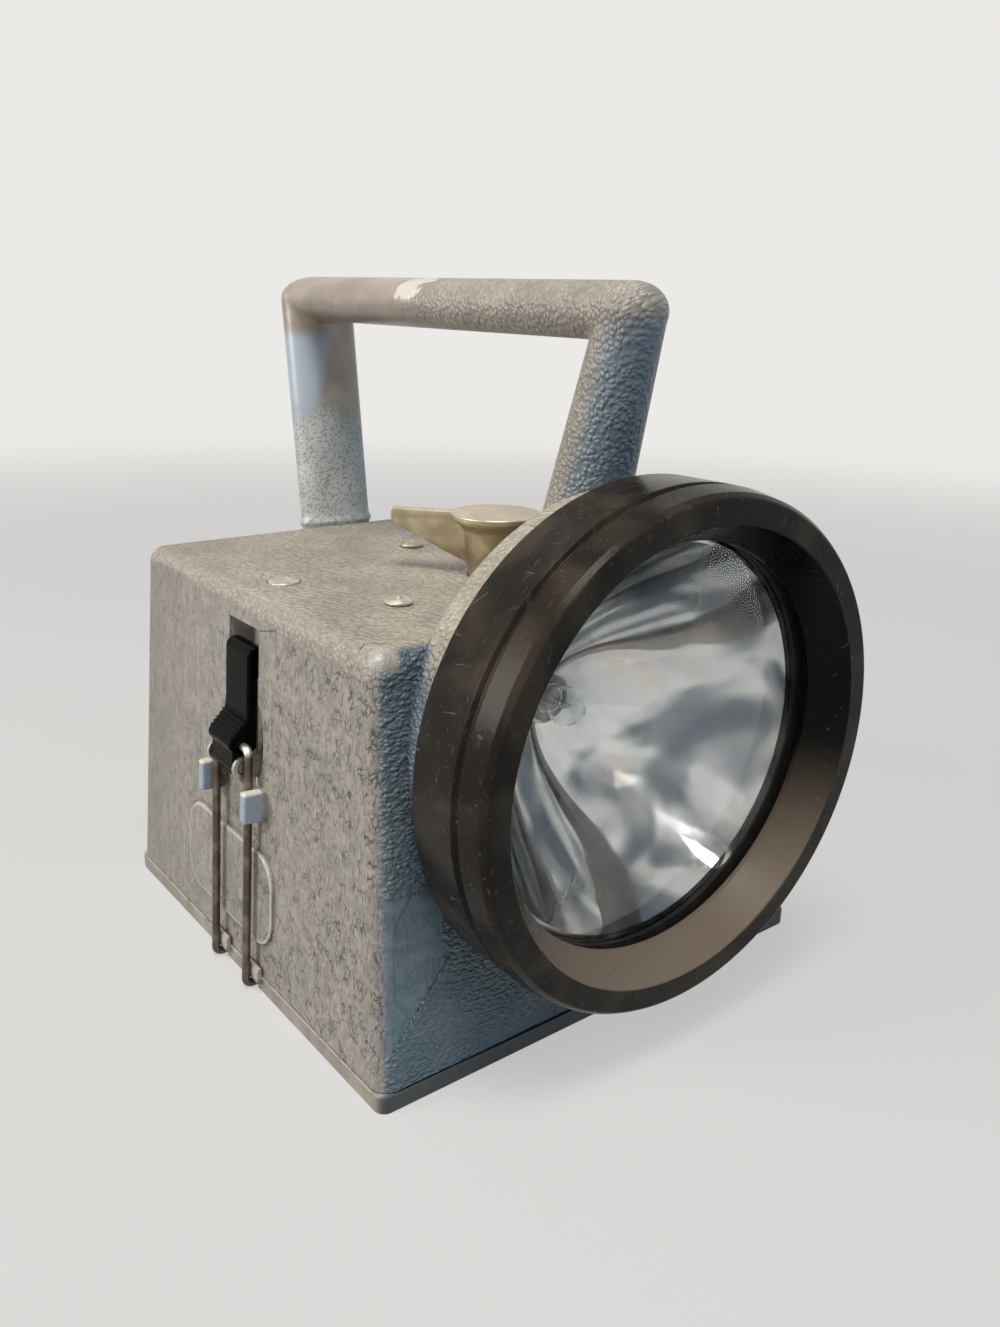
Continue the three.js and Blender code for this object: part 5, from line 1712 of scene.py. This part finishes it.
def bail_wire():
    """The wire's path as a Geometry Nodes curve with filleted bends, and the tube along it."""
    eye = wall_stand @ Vector((-eye_out, 0, eye_height))
    foot_height = wire_floor_gap + wire_radius
    slope = (eye.x - (wall_stand @ Vector((-eye_out, 0, 0))).x) / eye.z
    foot_x = eye.x - slope * (eye.z - foot_height)
    corners = []
    for side in (-1, 1):
        leg = [
            (foot_x + wire_hook, side * wire_half_spread, foot_height),
            (foot_x, side * wire_half_spread, foot_height),
            (eye.x, side * wire_half_spread, eye.z),
        ]
        corners += leg if side < 0 else leg[::-1]
    tree = Tree("bail_wire", {"wire radius": wire_radius, "bend radius": wire_bend})
    inputs = tree.start.outputs
    straight = tree.node("GeometryNodeCurvePrimitiveLine", {"mode": "POINTS"}, {
        "Start": corners[0], "End": corners[1]})
    line = tree.node("GeometryNodeResampleCurve", {"mode": "COUNT"}, {
        "Curve": straight, "Count": len(corners)})
    index = tree.node("GeometryNodeInputIndex", {}, {})
    for number, corner in enumerate(corners):
        chosen = tree.node("FunctionNodeCompare", {"data_type": "INT", "operation": "EQUAL"}, {
            2: index, 3: number})
        place = tree.node("FunctionNodeInputVector", {"vector": corner}, {})
        line = tree.node("GeometryNodeSetPosition", {}, {
            "Geometry": line, "Selection": chosen, "Position": place})
    bent = tree.node("GeometryNodeFilletCurve", {"mode": "POLY"}, {
        "Curve": line, "Count": wire_rings, "Radius": inputs["bend radius"]})
    return tree.result(tree.wire(bent, inputs["wire radius"], 24), browned_finish(), "spring_bail")


bail = bail_wire()
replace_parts(smoothed(bail, 0.0, 2, math.radians(50)), "wire_bail")
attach(bail, "bail")


# Floor, backdrop and light
# A plain pale floor under soft studio light: a large lamp over the left side, a dim cool one in
# front, and a pale surround that metal and glass reflect.
floor_half = 3.0
floor_gap = 0.00002
glow_reach_squares = (0.1, 1.6)
near_glow = 0.6
pale_surround = shade(236, 234, 231)
dim_surround = (0.07, 0.095, 0.13, 1)
floor_tone_size = 0.4


def pale_finish():
    """A pale matt floor. It is lightened for the camera alone, and keeps the lamp's shadow."""
    recipe = Recipe("pale_floor")
    grain = recipe.noise(floor_tone_size, 2)
    color = recipe.mix(grain, shade(176, 176, 176), shade(184, 184, 184))
    seen = 0
    for kind in ("Camera", "Glossy", "Transmission"):
        seen = seen + recipe.node("ShaderNodeLightPath", {}, [], f"Is {kind} Ray")
    glow = recipe.node("ShaderNodeEmission", {}, {"Color": pale_surround})
    bare = Value(recipe, recipe.shader.outputs[0])
    x, y = recipe.axes()[:2]
    far = recipe.rise(x * x + y * y, *glow_reach_squares)
    share = near_glow + far * (1 - near_glow)
    mixed = recipe.node("ShaderNodeMixShader", {}, {0: seen * share, 1: bare, 2: glow})
    recipe.tree.links.new(mixed.socket, recipe.tree.nodes["Material Output"].inputs["Surface"])
    return recipe.finish(color, 0.85)


floor_mesh = bmesh.new()
bmesh.ops.create_grid(
    floor_mesh, x_segments=1, y_segments=1, size=floor_half, matrix=Matrix.Translation((0, 0, -floor_gap)))
floor = with_mesh("floor", floor_mesh, pale_finish())


def soft_lamp(name, place, size, power, color):
    data = bpy.data.lights.new(name, "AREA")
    data.size = size
    data.energy = power
    data.color = color
    lamp = bpy.data.objects.new(name, data)
    lamp.location = place
    lamp.rotation_mode = "QUATERNION"
    lamp.rotation_quaternion = (lit_point - Vector(place)).to_track_quat("-Z", "Y")
    scene.collection.objects.link(lamp)
    return lamp


lit_point = Vector((0, 0, 0.08))
left_light_place = (-0.95, 0.30, 0.50)
left_light_color = (1.0, 0.97, 0.93)
top_light_place = (-0.25, -0.30, 1.05)
top_light_color = (1.0, 0.96, 0.90)
front_light_place = (0.55, -1.0, 0.40)
front_light_color = (0.30, 0.66, 1.0)
wide_light = 0.5
small_light = 0.4
soft_lamp("left_light", left_light_place, wide_light, 8.0, left_light_color)
soft_lamp("top_light", top_light_place, small_light, 8.5, top_light_color)
front_light = soft_lamp("front_light", front_light_place, wide_light, 2.0, front_light_color)
front_light.visible_glossy = False
front_light.visible_transmission = False

world = bpy.data.worlds.new("surround")
world.use_nodes = True
scene.world = world
surround = world.node_tree


def larger(first, second):
    node = surround.nodes.new("ShaderNodeMath")
    node.operation = "MAXIMUM"
    surround.links.new(first, node.inputs[0])
    surround.links.new(second, node.inputs[1])
    return node.outputs[0]


rays = surround.nodes.new("ShaderNodeLightPath").outputs
seen = larger(larger(rays["Is Camera Ray"], rays["Is Glossy Ray"]), rays["Is Transmission Ray"])
dim = surround.nodes["Background"]
dim.inputs["Color"].default_value = dim_surround
pale = surround.nodes.new("ShaderNodeBackground")
pale.inputs["Color"].default_value = pale_surround
chosen_surround = surround.nodes.new("ShaderNodeMixShader")
surround.links.new(seen, chosen_surround.inputs[0])
surround.links.new(dim.outputs[0], chosen_surround.inputs[1])
surround.links.new(pale.outputs[0], chosen_surround.inputs[2])
surround.links.new(chosen_surround.outputs[0], surround.nodes["World Output"].inputs["Surface"])
